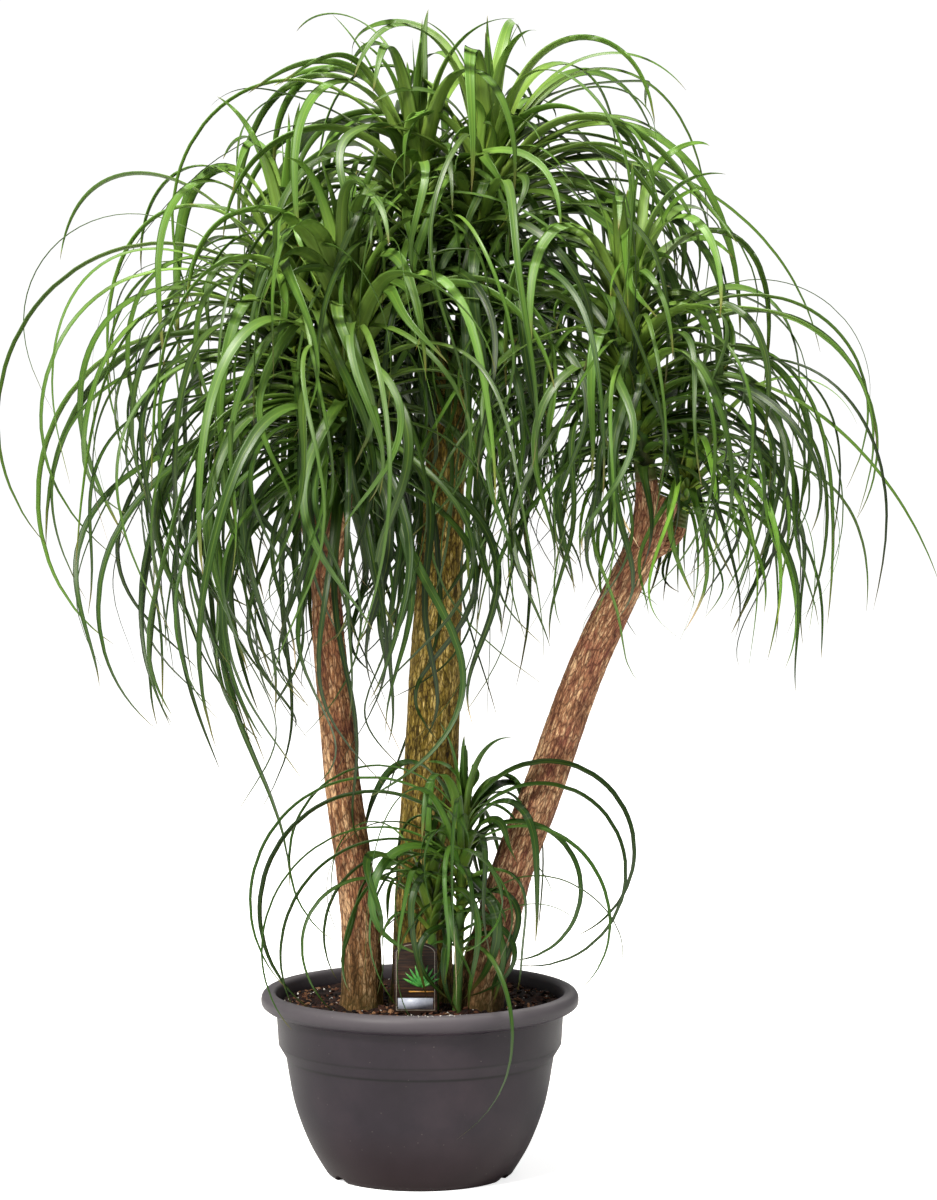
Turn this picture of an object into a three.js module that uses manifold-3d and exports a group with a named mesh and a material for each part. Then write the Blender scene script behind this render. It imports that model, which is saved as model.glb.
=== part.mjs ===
// Potted ponytail palm: three trunks in a nursery bowl, six leafy crowns and two young shoots.
// Lengths are millimetres and angles are degrees, with +Z up and the front towards -Y.
// The origin is the centre of the pot's underside.
import * as THREE from 'three';
import { mergeVertices } from 'three/addons/utils/BufferGeometryUtils.js';
import Module from 'manifold-3d';

const wasm = await Module();
wasm.setup();

// Pot
const POT_HEIGHT = 256;
const POT_WALL = 3;
const POT_SEGMENTS = 36;
const BELLY = [[128, 0], [153, 43], [173.5, 98], [184.2, 154]]; // radius and height up the bowl
const BELLY_STEPS = 4;
const BAND = [[186.5, 164], [195.5, 180], [199, 227]]; // the step and the upright band above it
const RIM_RADIUS = 220;
const RIM_DROP = 24; // from the rim's top to the underside of its lip
const RIM_ROUND = 8;
const RIM_TURNS = [-10, 40, 90];
const RIM_INSIDE = 199;
const RIM_EASE = 4; // bevel at the rim's inner edge and at its lip
const LIP_DRAFT = 1;
const NOTCH = { width: 26, height: 9, depth: 43, first: -27, count: 3 };

// Soil
const SOIL_TOP = 236;
const SOIL_RINGS = 4;
const SOIL_HUMPS = [
  { height: 3, x: 17, y: 21, from: 1, to: Math.PI / 2 },
  { height: 2, x: 8, y: 9, from: 0, to: 2 },
];
const SEAT_GAP = 0.3;
const HOLE_GAP = 0.5;
const SHOOT_HOLE_GAP = 3.2;
const HOLE_SIDES = 16;

// Label on a stake
const TAG = { x: -5, y: -92, z: 240, width: 59, height: 97, arch: 14, thickness: 1.2 };
const STAKE = { width: 14, length: 68, point: 16 };

// Bark: ridges run up the trunk and drift sideways as they climb
const BARK = { ridge: 0.02, crack: 0.014, ridges: 5, drift: 2, climb: 70, cracks: 9, crackClimb: 45 };
const BARK_FADE = { foot: [0.02, 0.12], top: [0.85, 0.98] }; // shares of the trunk where it is smooth
const TRUNK_SIDES = 16;
const TRUNK_RINGS = 12;
const BRANCH_SIDES = 10;
const BRANCH_RINGS = 4;
const BRANCH_SWELL = 1.25; // where it leaves the trunk, as a share of its girth at the crown
const BRANCH_LEAD = 1 / 3;
const ROOT_DEPTH = 105;
const ROOT_LAP = 1; // the root body reaches this far up into the trunk

// Each row is x, y, z and the diameter there, from the soil up.
const TRUNKS = [
  {
    name: 'trunk_left',
    colour: 0x8c5b3f,
    rows: [[-81, -20, 228, 62], [-80, -20, 265, 56], [-82, -20, 353, 52], [-92, -20, 441, 50],
      [-105, -20, 541, 48], [-119, -20, 681, 45], [-127, -20, 796, 41], [-129, -20, 851, 38],
      [-129, -20, 861, 24]],
  },
  {
    name: 'trunk_centre',
    colour: 0x75603b,
    rows: [[0, 25, 228, 90], [2, 25, 268, 84], [4, 25, 344, 79], [6, 25, 426, 77], [14, 26, 541, 75],
      [20, 27, 681, 71], [27, 28, 813, 63], [34, 30, 960, 54], [39, 30, 1073, 49], [39, 30, 1087, 30]],
  },
  {
    name: 'trunk_right',
    colour: 0x92664a,
    rows: [[78, -30, 228, 74], [84, -30, 265, 67], [107, -30, 353, 58], [132, -30, 441, 56],
      [170, -30, 541, 54], [219, -30, 681, 51], [270, -30, 797, 49], [315, -30, 891, 47],
      [335, -30, 939, 43]],
  },
];

// Each crown is a leafy stem from foot to tip. A crown on a trunk sits on a branch that leaves the
// trunk's middle line at fork, and a shoot stands in the soil. Leaves start above the bare part. open
// is the side where they grow longer, with by what share, and old is what the lowest one is like, with
// its size as a share of the longest.
// A long leaf is azimuth, rise, length, bend, curl, width and its height up the stem.
const CROWNS = [
  {
    name: 'crown_centre_left', trunk: 'trunk_centre', colour: 0x3f7a2c, seed: 11, turn: 116,
    fork: [38, 30, 1053], foot: [17, 32, 1143], tip: [-5, 32, 1363], girth: 31,
    leaves: 27, longest: 580, width: 28, bare: 0.08, open: [100, 0.35],
    old: { rise: -6, size: 0.8, bend: 1.6, curl: 110 },
    long: [[330, 88, 215, 0.3, 0, 26, 0.98], [200, 86, 175, 0.3, 0, 26, 0.98],
      [60, 84, 190, 0.5, 0, 26, 0.96], [262, 80, 230, 3, 40, 25, 0.97],
      [150, 76, 230, 2.4, 30, 24, 0.97], [185, 73, 660, 1, 160, 12, 1], [166, 77, 510, 2.6, 65, 20, 1],
      [206, 55, 400, 0.7, 100, 24, 1], [160, 76, 290, 0.9, 0, 10, 0.9]],
  },
  {
    name: 'crown_centre_right', trunk: 'trunk_centre', colour: 0x37702a, seed: 23, turn: 75,
    fork: [40, 30, 1053], foot: [56, 36, 1143], tip: [96, 40, 1373], girth: 31,
    leaves: 28, longest: 640, width: 28, bare: 0.3, open: [50, 0.35],
    old: { rise: 0, size: 0.8, bend: 1.3, curl: 110 },
    long: [[300, 88, 165, 0.3, 0, 26, 0.98], [40, 80, 200, 2.4, 30, 24, 0.97],
      [235, 82, 200, 3, 40, 24, 0.96], [5, 67, 520, 2.7, 20, 10, 1], [356, 43, 570, 2, 40, 25, 1],
      [8, 22, 600, 0.4, 75, 12, 1], [5, 72, 400, 2, 0, 10, 0.9]],
  },
  {
    name: 'crown_left_back', trunk: 'trunk_left', colour: 0x4a8432, seed: 37, turn: 116,
    fork: [-128, -20, 828], foot: [-163, 28, 973], tip: [-184, 30, 1228], girth: 26,
    leaves: 27, longest: 600, width: 27, bare: 0.3, open: [185, 0.12],
    old: { rise: -14, size: 0.9, bend: 2, curl: 100 },
    long: [[154, 86, 500, 4.5, 55, 30, 1], [182, 45, 750, 0.3, 170, 14, 0.93],
      [169, 39, 760, 0.2, 185, 15, 0.53], [177, 65, 500, 2.5, 70, 13, 1],
      [206, 34, 600, 3.7, -25, 15, 0.73]],
  },
  {
    name: 'crown_left_front', trunk: 'trunk_left', colour: 0x447f2f, seed: 41, turn: 230,
    fork: [-128, -20, 828], foot: [-103, -68, 958], tip: [-95, -72, 1153], girth: 27,
    leaves: 27, longest: 600, width: 28, bare: 0.05, open: [210, 0.2],
    old: { rise: -20, size: 0.8, bend: 2, curl: 95 },
    long: [[268, 80, 300, 3.4, 30, 29, 0.97], [300, 74, 400, 3.2, 20, 28, 0.93],
      [240, 70, 480, 3.6, 10, 27, 0.9], [315, 60, 560, 3.6, 10, 20, 0.85],
      [215, 62, 600, 3.4, 10, 20, 0.85]],
  },
  {
    name: 'crown_right', trunk: 'trunk_right', colour: 0x457f30, seed: 59, turn: 348,
    fork: [300, -30, 863], foot: [309, -46, 963], tip: [278, -52, 1168], girth: 30,
    leaves: 24, longest: 540, width: 28, bare: 0.08, open: [0, 0.12],
    old: { rise: 22, size: 0.55, bend: 1.6, curl: 110 },
    long: [[173, 66, 500, 2.2, 85, 30, 0.73], [204, 82, 460, 4.5, 20, 30, 0.88],
      [268, 84, 330, 3.6, 20, 29, 0.95], [353, 59, 360, 3.8, 90, 27, 0.99],
      [20, 76, 250, 2.2, 0, 24, 0.96], [357, 56, 580, 0.2, 170, 14, 0.71],
      [353, 41, 600, 3.1, 40, 15, 0.6], [359, 46, 540, 1.8, 105, 14, 0.35],
      [183, 33, 500, 3.1, 35, 22, 0.63], [355, 4, 550, 1.4, -10, 11, 0.7]],
  },
  {
    name: 'crown_right_small', trunk: 'trunk_right', colour: 0x5d9a36, seed: 67, turn: 96,
    fork: [303, -30, 859], foot: [356, -4, 897], tip: [374, 2, 978], girth: 20,
    leaves: 14, longest: 380, width: 18, bare: 0.2, open: [0, 0.1],
    old: { rise: 10, size: 0.7, bend: 1.8, curl: 90 },
    long: [],
  },
  {
    name: 'shoot_front', trunk: null, colour: 0x3b7a2b, seed: 71, turn: 24,
    foot: [49, -72, 163], tip: [60, -74, 498], girth: 13,
    leaves: 10, longest: 340, width: 20, bare: 0.38, open: [270, 0.1],
    old: { rise: 24, size: 0.8, bend: 2.2, curl: 160 },
    long: [[340, 88, 115, 0.2, 0, 20, 0.98], [154, 62, 270, 3.1, -15, 20, 1],
      [181, 48, 550, 0.2, 190, 17, 0.96], [183, 50, 540, 0.2, 180, 12, 1],
      [180, 49, 510, 0.2, 175, 10, 0.82], [176, 65, 490, 0.2, 215, 9, 1],
      [190, 36, 430, 0.2, 150, 12, 0.84], [175, 43, 330, 0.2, 160, 11, 0.78],
      [10, 73, 500, 0.2, 230, 16, 0.98], [9, 59, 550, 0.2, 255, 13, 0.97],
      [18, 61, 360, 3.7, 50, 20, 0.95], [358, 50, 380, 0.2, 230, 16, 0.9],
      [332, 64, 310, 4.5, 45, 17, 0.93], [8, 45, 400, 0.2, 180, 10, 0.88],
      [245, 60, 520, 3, 0, 12, 0.8], [268, 58, 520, 3.1, 0, 12, 0.8]],
  },
  {
    name: 'shoot_low', trunk: null, colour: 0x35702a, seed: 83, turn: 100,
    foot: [24, -52, 163], tip: [14, -54, 408], girth: 13,
    leaves: 11, longest: 380, width: 18, bare: 0.42, open: [225, 0.15],
    old: { rise: 12, size: 0.7, bend: 2.4, curl: 130 },
    long: [],
  },
];

// Leaves: a strap with a flat top and a keel, which rises, folds over and hangs. The youngest are
// short and stand up. Length and bend are full at a share of the crown's age, and old leaves are
// shorter again.
const GOLDEN_ANGLE = 137.508;
const YOUNG = { rise: 84, size: 0.4, bend: 1.1, curl: 50 };
const FULL = { sizeAge: 0.45, bendAge: 0.3, ageing: 0.5 };
const LONGEST_SHARE = 1.25;
const OLD_WIDTH = 0.6; // as a share of a young leaf's
const CROWDING = 0.9; // power of the age
const SCATTER = {
  azimuth: 14, rise: 12, length: 0.2, bend: 0.45, curl: 45, sway: 45, twist: 90, wave: 0.7, phase: 180,
};
const THIN = { chance: 0.1, stretch: 1.2 }; // some leaves are longer, narrower and stiffer
const STIFF_ROOT = { bend: 0.2, later: 1.7, share: 0.45 };
const LONG_LEAF = {
  sway: 0, twist: 80, wave: 0.08, phase: 40, segments: 6, stiff: { bend: 0.5, later: 1.2, share: 0.35 },
};
const WAVE = { across: 9, above: 7, turn: 1.7, depth: 0.7 };
const LEAF_ROOT = { width: 0.5, share: 0.12 };
const LEAF_TAPER = 0.65;
const LEAF_STEPS = 40;
const LEAF_SEGMENTS = 4;
const LEAF_KEEL = 0.17; // depth under the flat top, as a share of the width
const CORE = { sides: 8, rings: 3, tip: 12 };

// Bend clear: a leaf is turned, and then shortened, until it crosses nothing of another node
const LEAF_ROOM = 0.8;
const TURNS_TRIED = [0, 8, -8, 16, -16, 24, -24];
const LENGTHS_TRIED = [1, 0.8, 0.62];
const CROWDED = 45; // leaves of one crown may cross this close to its stem
const NEAR = 34; // lines further apart than this can't touch

const { lerp, degToRad, smoothstep } = THREE.MathUtils;

// Solids: closed geometry is welded before it is joined or cut.
function solidOf(geometry) {
  const bare = geometry.clone();
  bare.deleteAttribute('normal');
  bare.deleteAttribute('uv');
  const welded = mergeVertices(bare);
  const corners = welded.index.array;
  const triangles = [];
  for (let i = 0; i < corners.length; i += 3) {
    const [a, b, c] = corners.slice(i, i + 3);
    if (a !== b && b !== c && c !== a) triangles.push(a, b, c);
  }
  return new wasm.Manifold(new wasm.Mesh({
    numProp: 3,
    vertProperties: new Float32Array(welded.attributes.position.array),
    triVerts: new Uint32Array(triangles),
  }));
}

// The largest body is kept, so sealed hollows are filled and loose scraps are dropped.
function oneBody(solid) {
  return solid.decompose().reduce((best, body) => (body.volume() > best.volume() ? body : best));
}

function nodeOf(name, solid, colour, roughness) {
  const { vertProperties, triVerts } = solid.getMesh();
  const geometry = new THREE.BufferGeometry();
  geometry.setAttribute('position', new THREE.BufferAttribute(vertProperties, 3));
  geometry.setIndex(new THREE.BufferAttribute(triVerts, 1));
  geometry.computeVertexNormals();
  const material = new THREE.MeshStandardMaterial({ color: colour, roughness, metalness: 0 });
  const mesh = new THREE.Mesh(geometry, material);
  mesh.name = name;
  return mesh;
}

// A profile of radius and height is spun round the Z axis.
function spun(profile) {
  const points = profile.map(([radius, height]) => new THREE.Vector2(radius, height));
  return new THREE.LatheGeometry(points, POT_SEGMENTS).rotateX(Math.PI / 2);
}

// The points of a cylinder or cone along Y are moved to where place puts them. It is given the
// share of the length, the angle round the section, and whether the point is on the middle line.
function shaped(geometry, place) {
  const { position } = geometry.attributes;
  const point = new THREE.Vector3();
  for (let i = 0; i < position.count; i += 1) {
    point.fromBufferAttribute(position, i);
    const middle = Math.hypot(point.x, point.z) < 1e-6;
    const moved = place(point.y + 0.5, Math.atan2(point.x, point.z), middle);
    position.setXYZ(i, moved.x, moved.y, moved.z);
  }
  return geometry;
}

// A round stem along a curve, with its radius given by share of length and angle.
function stem(curve, radiusAt, sides, rings) {
  const across = new THREE.Vector3();
  return shaped(new THREE.CylinderGeometry(1, 1, 1, sides, rings), (share, angle, middle) => {
    const ahead = curve.getTangent(share);
    across.set(1, 0, 0).addScaledVector(ahead, -ahead.x).normalize();
    const under = new THREE.Vector3().crossVectors(across, ahead);
    const radius = middle ? 0 : radiusAt(share, angle);
    return curve.getPoint(share)
      .addScaledVector(across, radius * Math.sin(angle))
      .addScaledVector(under, radius * Math.cos(angle));
  });
}

// Pot
function outerWall() {
  const belly = new THREE.SplineCurve(BELLY.map(([r, z]) => new THREE.Vector2(r, z)));
  return [...belly.getPoints(BELLY_STEPS).map(({ x, y }) => [x, y]), ...BAND];
}

function innerWall() {
  const [, , ...above] = outerWall().map(([radius, height]) => [radius - POT_WALL, height]);
  const corner = [BELLY[0][0] - POT_WALL / 2, POT_WALL];
  return [corner, ...above];
}

function rim() {
  const centre = [RIM_RADIUS - RIM_ROUND, POT_HEIGHT - RIM_ROUND];
  const round = RIM_TURNS.map((angle) => [
    centre[0] + RIM_ROUND * Math.cos(degToRad(angle)),
    centre[1] + RIM_ROUND * Math.sin(degToRad(angle)),
  ]);
  const lip = [centre[0], POT_HEIGHT - RIM_DROP];
  return [lip, [RIM_RADIUS - LIP_DRAFT, lip[1] + RIM_EASE], ...round,
    [RIM_INSIDE + RIM_EASE, POT_HEIGHT], [RIM_INSIDE, POT_HEIGHT - RIM_EASE]];
}

function potSolid() {
  const profile = [[0, 0], ...outerWall(), ...rim(), ...innerWall().reverse(), [0, POT_WALL]];
  let pot = solidOf(spun(profile));
  const reach = BELLY[0][0];
  for (let i = 0; i < NOTCH.count; i += 1) {
    const cutter = new THREE.BoxGeometry(NOTCH.depth, NOTCH.width, NOTCH.height * 2);
    cutter.translate(reach, 0, 0).rotateZ(degToRad(NOTCH.first + (360 / NOTCH.count) * i));
    pot = pot.subtract(solidOf(cutter));
  }
  return pot;
}

// Soil
function soilRelief(x, y) {
  return SOIL_HUMPS.reduce((sum, hump) => (
    sum + hump.height * Math.sin(x / hump.x + hump.from) * Math.sin(y / hump.y + hump.to)
  ), 0);
}

function soilSolid(stakes) {
  const side = innerWall()
    .filter(([, height]) => height < SOIL_TOP - 2)
    .map(([radius, height]) => [radius - SEAT_GAP, Math.max(height, POT_WALL + SEAT_GAP)]);
  const edge = [BAND[2][0] - POT_WALL - SEAT_GAP, SOIL_TOP];
  const rings = Array.from({ length: SOIL_RINGS }, (_, i) => [
    edge[0] * (1 - (i + 1) / (SOIL_RINGS + 1)), SOIL_TOP,
  ]);
  const floor = [0, POT_WALL + SEAT_GAP];
  const geometry = spun([floor, ...side, edge, ...rings, [0, SOIL_TOP]]);
  const { position } = geometry.attributes;
  for (let i = 0; i < position.count; i += 1) {
    const [x, y, z] = [position.getX(i), position.getY(i), position.getZ(i)];
    const inside = Math.hypot(x, y) < edge[0] - 1;
    if (inside && z > SOIL_TOP - 1) position.setZ(i, z + soilRelief(x, y));
  }
  return stakes.reduce((soil, stake) => soil.subtract(stake), solidOf(geometry));
}

// A plain round hole for a stem that stands in the soil.
function hole(x, y, radius, bottom, gap) {
  const wide = (radius + gap) / Math.cos(Math.PI / HOLE_SIDES);
  const height = POT_HEIGHT - bottom;
  const geometry = new THREE.CylinderGeometry(wide, wide, height, HOLE_SIDES);
  geometry.rotateX(Math.PI / 2).translate(x, y, bottom - SEAT_GAP + height / 2);
  return solidOf(geometry);
}

// Label
function tagSolid() {
  const half = TAG.width / 2;
  const shoulder = TAG.height - TAG.arch;
  const outline = new THREE.Shape();
  outline.moveTo(0, -STAKE.length);
  outline.lineTo(STAKE.width / 2, STAKE.point - STAKE.length);
  outline.lineTo(STAKE.width / 2, 0);
  outline.lineTo(half, 0);
  outline.lineTo(half, shoulder);
  outline.absellipse(0, shoulder, half, TAG.arch, 0, Math.PI);
  outline.lineTo(-half, 0);
  outline.lineTo(-STAKE.width / 2, 0);
  outline.lineTo(-STAKE.width / 2, STAKE.point - STAKE.length);
  const settings = { depth: TAG.thickness, bevelEnabled: false, curveSegments: 8 };
  const geometry = new THREE.ExtrudeGeometry(outline, settings);
  return solidOf(geometry.rotateX(Math.PI / 2).translate(TAG.x, TAG.y, TAG.z));
}

function tagSlot() {
  const size = [STAKE.width + 2 * HOLE_GAP, TAG.thickness + 2 * HOLE_GAP, STAKE.length * 2];
  const slot = new THREE.BoxGeometry(...size);
  return solidOf(slot.translate(TAG.x, TAG.y - TAG.thickness / 2, TAG.z));
}

// Trunks
function barkAt(angle, height) {
  const ridge = Math.sin(BARK.ridges * angle + BARK.drift * Math.sin(height / BARK.climb));
  const crack = Math.sin(BARK.cracks * angle - height / BARK.crackClimb);
  return BARK.ridge * ridge + BARK.crack * crack;
}

function crownAxis({ foot, tip }) {
  const from = new THREE.Vector3(...foot);
  const to = new THREE.Vector3(...tip);
  return { from, to, ahead: to.clone().sub(from).normalize() };
}

function branch(crown, width) {
  const { from, ahead } = crownAxis(crown);
  const start = new THREE.Vector3(...crown.fork);
  const lead = from.clone().addScaledVector(ahead, -start.distanceTo(from) * BRANCH_LEAD);
  const curve = new THREE.QuadraticBezierCurve3(start, lead, from);
  const radiusAt = (share) => lerp(width, crown.girth, share) / 2;
  return solidOf(stem(curve, radiusAt, BRANCH_SIDES, BRANCH_RINGS));
}

function trunkSolid({ name, rows }) {
  const spine = new THREE.CatmullRomCurve3(rows.map(([x, y, z]) => new THREE.Vector3(x, y, z)));
  const last = rows.length - 1;
  const radiusAt = (share, angle) => {
    const low = Math.min(Math.floor(share * last), last - 1);
    const plain = lerp(rows[low][3], rows[low + 1][3], share * last - low) / 2;
    const rough = smoothstep(share, ...BARK_FADE.foot) * (1 - smoothstep(share, ...BARK_FADE.top));
    return plain * (1 + rough * barkAt(angle, spine.getPoint(share).z));
  };
  let trunk = solidOf(stem(spine, radiusAt, TRUNK_SIDES, TRUNK_RINGS));
  const [x, y, z, width] = rows[0];
  const root = new THREE.CylinderGeometry(width / 2, width / 2, ROOT_DEPTH, TRUNK_SIDES);
  trunk = trunk.add(solidOf(root.rotateX(Math.PI / 2).translate(x, y, z + ROOT_LAP - ROOT_DEPTH / 2)));
  for (const crown of CROWNS.filter(({ trunk: on }) => on === name)) {
    trunk = trunk.add(branch(crown, crown.girth * BRANCH_SWELL));
  }
  return oneBody(trunk);
}

function trunkHole({ rows: [[x, y, z, width]] }) {
  return hole(x, y, width / 2, z + ROOT_LAP - ROOT_DEPTH, HOLE_GAP);
}

// Random draws repeat exactly from a seed.
function drawsFrom(seed) {
  let state = seed;
  return () => {
    state = (state * 16807) % 2147483647;
    return (2 * state) / 2147483647 - 1;
  };
}

// Leaves of a crown, from the youngest at the tip (age 0) to the oldest at the bottom (age 1).
function grownLeaf(crown, index, draw) {
  const age = (index + 0.5) / crown.leaves;
  const [azimuth, rise, length, bend, curl, sway, twist, wave, phase] = Object.values(SCATTER)
    .map((spread) => draw() * spread);
  const stretch = length > SCATTER.length * (1 - 2 * THIN.chance) ? THIN.stretch : 1;
  const grown = smoothstep(age, 0, FULL.bendAge);
  const facing = crown.turn + GOLDEN_ANGLE * index + azimuth;
  const [openSide, gain] = crown.open;
  const lit = 1 + gain * Math.cos(degToRad(facing - openSide));
  const size = lerp(YOUNG.size, 1, smoothstep(age, 0, FULL.sizeAge))
    - (1 - crown.old.size) * smoothstep(age, FULL.ageing, 1);
  return {
    azimuth: facing,
    rise: lerp(YOUNG.rise, crown.old.rise, age ** CROWDING) + rise,
    length: crown.longest * Math.min(size * lit * (1 + length) * stretch, LONGEST_SHARE),
    bend: (lerp(YOUNG.bend, crown.old.bend, grown) * (1 + bend)) / stretch,
    curl: lerp(YOUNG.curl, crown.old.curl, grown) + curl,
    sway,
    twist,
    wave: Math.abs(wave),
    phase,
    width: (crown.width * lerp(1, OLD_WIDTH, age)) / stretch,
    height: lerp(1, crown.bare, age ** CROWDING),
    segments: LEAF_SEGMENTS,
    stiff: STIFF_ROOT,
    crown,
  };
}

function leavesOf(crown) {
  const draw = drawsFrom(crown.seed);
  const long = crown.long.map(([azimuth, rise, length, bend, curl, width, height]) => ({
    azimuth, rise, length, bend, curl, width, height, ...LONG_LEAF, crown,
  }));
  return [...long, ...Array.from({ length: crown.leaves }, (_, i) => grownLeaf(crown, i, draw))];
}

// The middle line of a leaf. Gravity bends it most where it is level, curl bends it evenly, sway
// turns it sideways, and the wave grows towards the tip.
function leafLine(leaf, turn, size) {
  const { from, to } = crownAxis(leaf.crown);
  const point = from.clone().lerp(to, leaf.height);
  let slope = degToRad(leaf.rise);
  let bearing = degToRad(leaf.azimuth + turn);
  const phase = degToRad(leaf.phase);
  const line = [];
  for (let k = 0; k <= LEAF_STEPS; k += 1) {
    const share = k / LEAF_STEPS;
    const ahead = new THREE.Vector3(
      Math.cos(slope) * Math.cos(bearing), Math.cos(slope) * Math.sin(bearing), Math.sin(slope),
    );
    const across = new THREE.Vector3(-Math.sin(bearing), Math.cos(bearing), 0);
    const above = new THREE.Vector3().crossVectors(ahead, across);
    const wave = leaf.wave * share;
    ahead.addScaledVector(across, wave * Math.sin(phase + WAVE.across * share));
    ahead.addScaledVector(above, WAVE.depth * wave * Math.cos(WAVE.turn * phase + WAVE.above * share));
    ahead.normalize();
    const twist = degToRad(leaf.twist) * share;
    across.multiplyScalar(Math.cos(twist)).addScaledVector(above, Math.sin(twist));
    across.addScaledVector(ahead, -across.dot(ahead)).normalize();
    line.push({ point: point.clone(), ahead, across });
    const give = leaf.stiff.bend + leaf.stiff.later * smoothstep(share, 0, leaf.stiff.share);
    slope -= (leaf.bend * give * Math.cos(slope) + degToRad(leaf.curl)) / LEAF_STEPS;
    bearing += (degToRad(leaf.sway) * 2 * share) / LEAF_STEPS;
    point.addScaledVector(ahead, (leaf.length * size) / LEAF_STEPS);
  }
  return line;
}

function leafWidthAt(share) {
  return lerp(LEAF_ROOT.width, 1, smoothstep(share, 0, LEAF_ROOT.share)) * (1 - share) ** LEAF_TAPER;
}

// Rings of a blade lie where the leaf has turned and grown by equal shares.
function ringSteps(line, segments) {
  const load = [0];
  for (let k = 1; k < line.length; k += 1) {
    const turned = line[k].ahead.angleTo(line[k - 1].ahead);
    load.push(load[k - 1] + turned + 1 / LEAF_STEPS);
  }
  const total = load[LEAF_STEPS];
  return Array.from({ length: segments + 1 }, (_, ring) => {
    const wanted = (total * ring) / segments;
    return Math.max(load.findIndex((value) => value >= wanted - 1e-9), 0);
  });
}

// Four-sided faces of a twisted blade are creased outwards, so that its thin walls can't cross.
function creasedOut(geometry) {
  const { index, attributes: { position } } = geometry;
  for (let i = 0; i + 6 <= index.count; i += 3) {
    const [a, b, d, b2, c, d2] = index.array.slice(i, i + 6);
    const corners = [a, b, d, c].map((at) => new THREE.Vector3().fromBufferAttribute(position, at));
    const beyond = new THREE.Plane().setFromCoplanarPoints(...corners).distanceToPoint(corners[3]);
    if (b === b2 && d === d2 && beyond > 0) index.array.set([a, b, c, a, c, d], i);
  }
  return geometry;
}

// A blade is a cone with three sides, widened to the leaf's flat top and its keel.
function bladeSolid(line, { width, segments }, room) {
  const steps = ringSteps(line, segments);
  const cone = new THREE.ConeGeometry(1, 1, 3, segments);
  return solidOf(creasedOut(shaped(cone, (share, angle, middle) => {
    const step = steps[Math.round(share * segments)];
    const { point, ahead, across } = line[step];
    const under = new THREE.Vector3().crossVectors(across, ahead);
    const wide = width * leafWidthAt(step / LEAF_STEPS);
    const side = middle ? 0 : Math.sin(angle) / Math.sin(Math.PI / 3);
    const deep = middle ? 1 / 3 : (Math.cos(angle) + 0.5) / 1.5;
    return point.clone()
      .addScaledVector(across, side * (wide / 2 + room))
      .addScaledVector(under, deep * (wide * LEAF_KEEL + 2 * room) - room);
  })));
}

function coreSolid(crown) {
  const { from, to, ahead } = crownAxis(crown);
  const curve = new THREE.LineCurve3(from.clone().addScaledVector(ahead, SEAT_GAP), to);
  const radiusAt = (share) => lerp(crown.girth, CORE.tip, share) / 2;
  return solidOf(stem(curve, radiusAt, CORE.sides, CORE.rings));
}

function boxOf(solid) {
  const { min, max } = solid.boundingBox();
  return new THREE.Box3(new THREE.Vector3(...min), new THREE.Vector3(...max));
}

function near(line, other) {
  if (!other.line) return true;
  return line.some(({ point }) => other.line.some((to) => point.distanceTo(to.point) < NEAR));
}

// Leaves of one crown may meet where they crowd round its stem.
function crowded(shared, crown) {
  const { from, to } = crownAxis(crown);
  const where = boxOf(shared).getCenter(new THREE.Vector3());
  const onStem = new THREE.Line3(from, to).closestPointToPoint(where, true, new THREE.Vector3());
  return where.distanceTo(onStem) < CROWDED;
}

function crosses({ crown }, line, probe, others) {
  const box = boxOf(probe);
  return others.some((other) => {
    if (!box.intersectsBox(other.box) || !near(line, other)) return false;
    const shared = probe.intersect(other.solid);
    const own = other.crown === crown;
    const meets = !shared.isEmpty() && !(own && crowded(shared, crown));
    shared.delete();
    return meets;
  });
}

function clearBlade(leaf, placed) {
  const others = placed.filter(({ crown }) => crown !== leaf.crown);
  let spare = null;
  for (const size of LENGTHS_TRIED) {
    for (const turn of TURNS_TRIED) {
      const line = leafLine(leaf, turn, size);
      const probe = bladeSolid(line, leaf, LEAF_ROOM);
      const blocked = crosses(leaf, line, probe, others);
      const alone = !blocked && !crosses(leaf, line, probe, placed);
      probe.delete();
      if (alone) return { line, solid: bladeSolid(line, leaf, 0) };
      if (!blocked && !spare) spare = line;
    }
    if (spare) return { line: spare, solid: bladeSolid(spare, leaf, 0) };
  }
  return null;
}

function crownSolids(standing) {
  const placed = standing.map((solid) => ({ solid, box: boxOf(solid), crown: null }));
  for (const crown of CROWNS) {
    const solid = coreSolid(crown);
    placed.push({ solid, box: boxOf(solid), crown });
  }
  const longFirst = CROWNS.flatMap(leavesOf).sort((a, b) => b.segments - a.segments);
  for (const leaf of longFirst) {
    const blade = clearBlade(leaf, placed);
    if (blade) placed.push({ ...blade, box: boxOf(blade.solid), crown: leaf.crown });
  }
  return CROWNS.map((crown) => {
    const parts = placed.filter((item) => item.crown === crown).map(({ solid }) => solid);
    return oneBody(wasm.Manifold.union(parts));
  });
}

const pot = potSolid();
const tag = tagSolid();
const trunks = TRUNKS.map(trunkSolid);
const shootHoles = CROWNS.filter(({ trunk }) => !trunk)
  .map(({ foot: [x, y, z], girth }) => hole(x, y, girth / 2, z, SHOOT_HOLE_GAP));
const soil = soilSolid([...TRUNKS.map(trunkHole), ...shootHoles, tagSlot()]);
const crowns = crownSolids([pot, soil, tag, ...trunks]);

const palm = new THREE.Group();
palm.add(nodeOf('pot', pot, 0x3f3f45, 0.55));
palm.add(nodeOf('soil', soil, 0x2e1c14, 0.95));
palm.add(nodeOf('plant_tag', tag, 0x3c2619, 0.4));
TRUNKS.forEach(({ name, colour }, i) => palm.add(nodeOf(name, trunks[i], colour, 0.9)));
CROWNS.forEach(({ name, colour }, i) => palm.add(nodeOf(name, crowns[i], colour, 0.45)));

export default palm;
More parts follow.
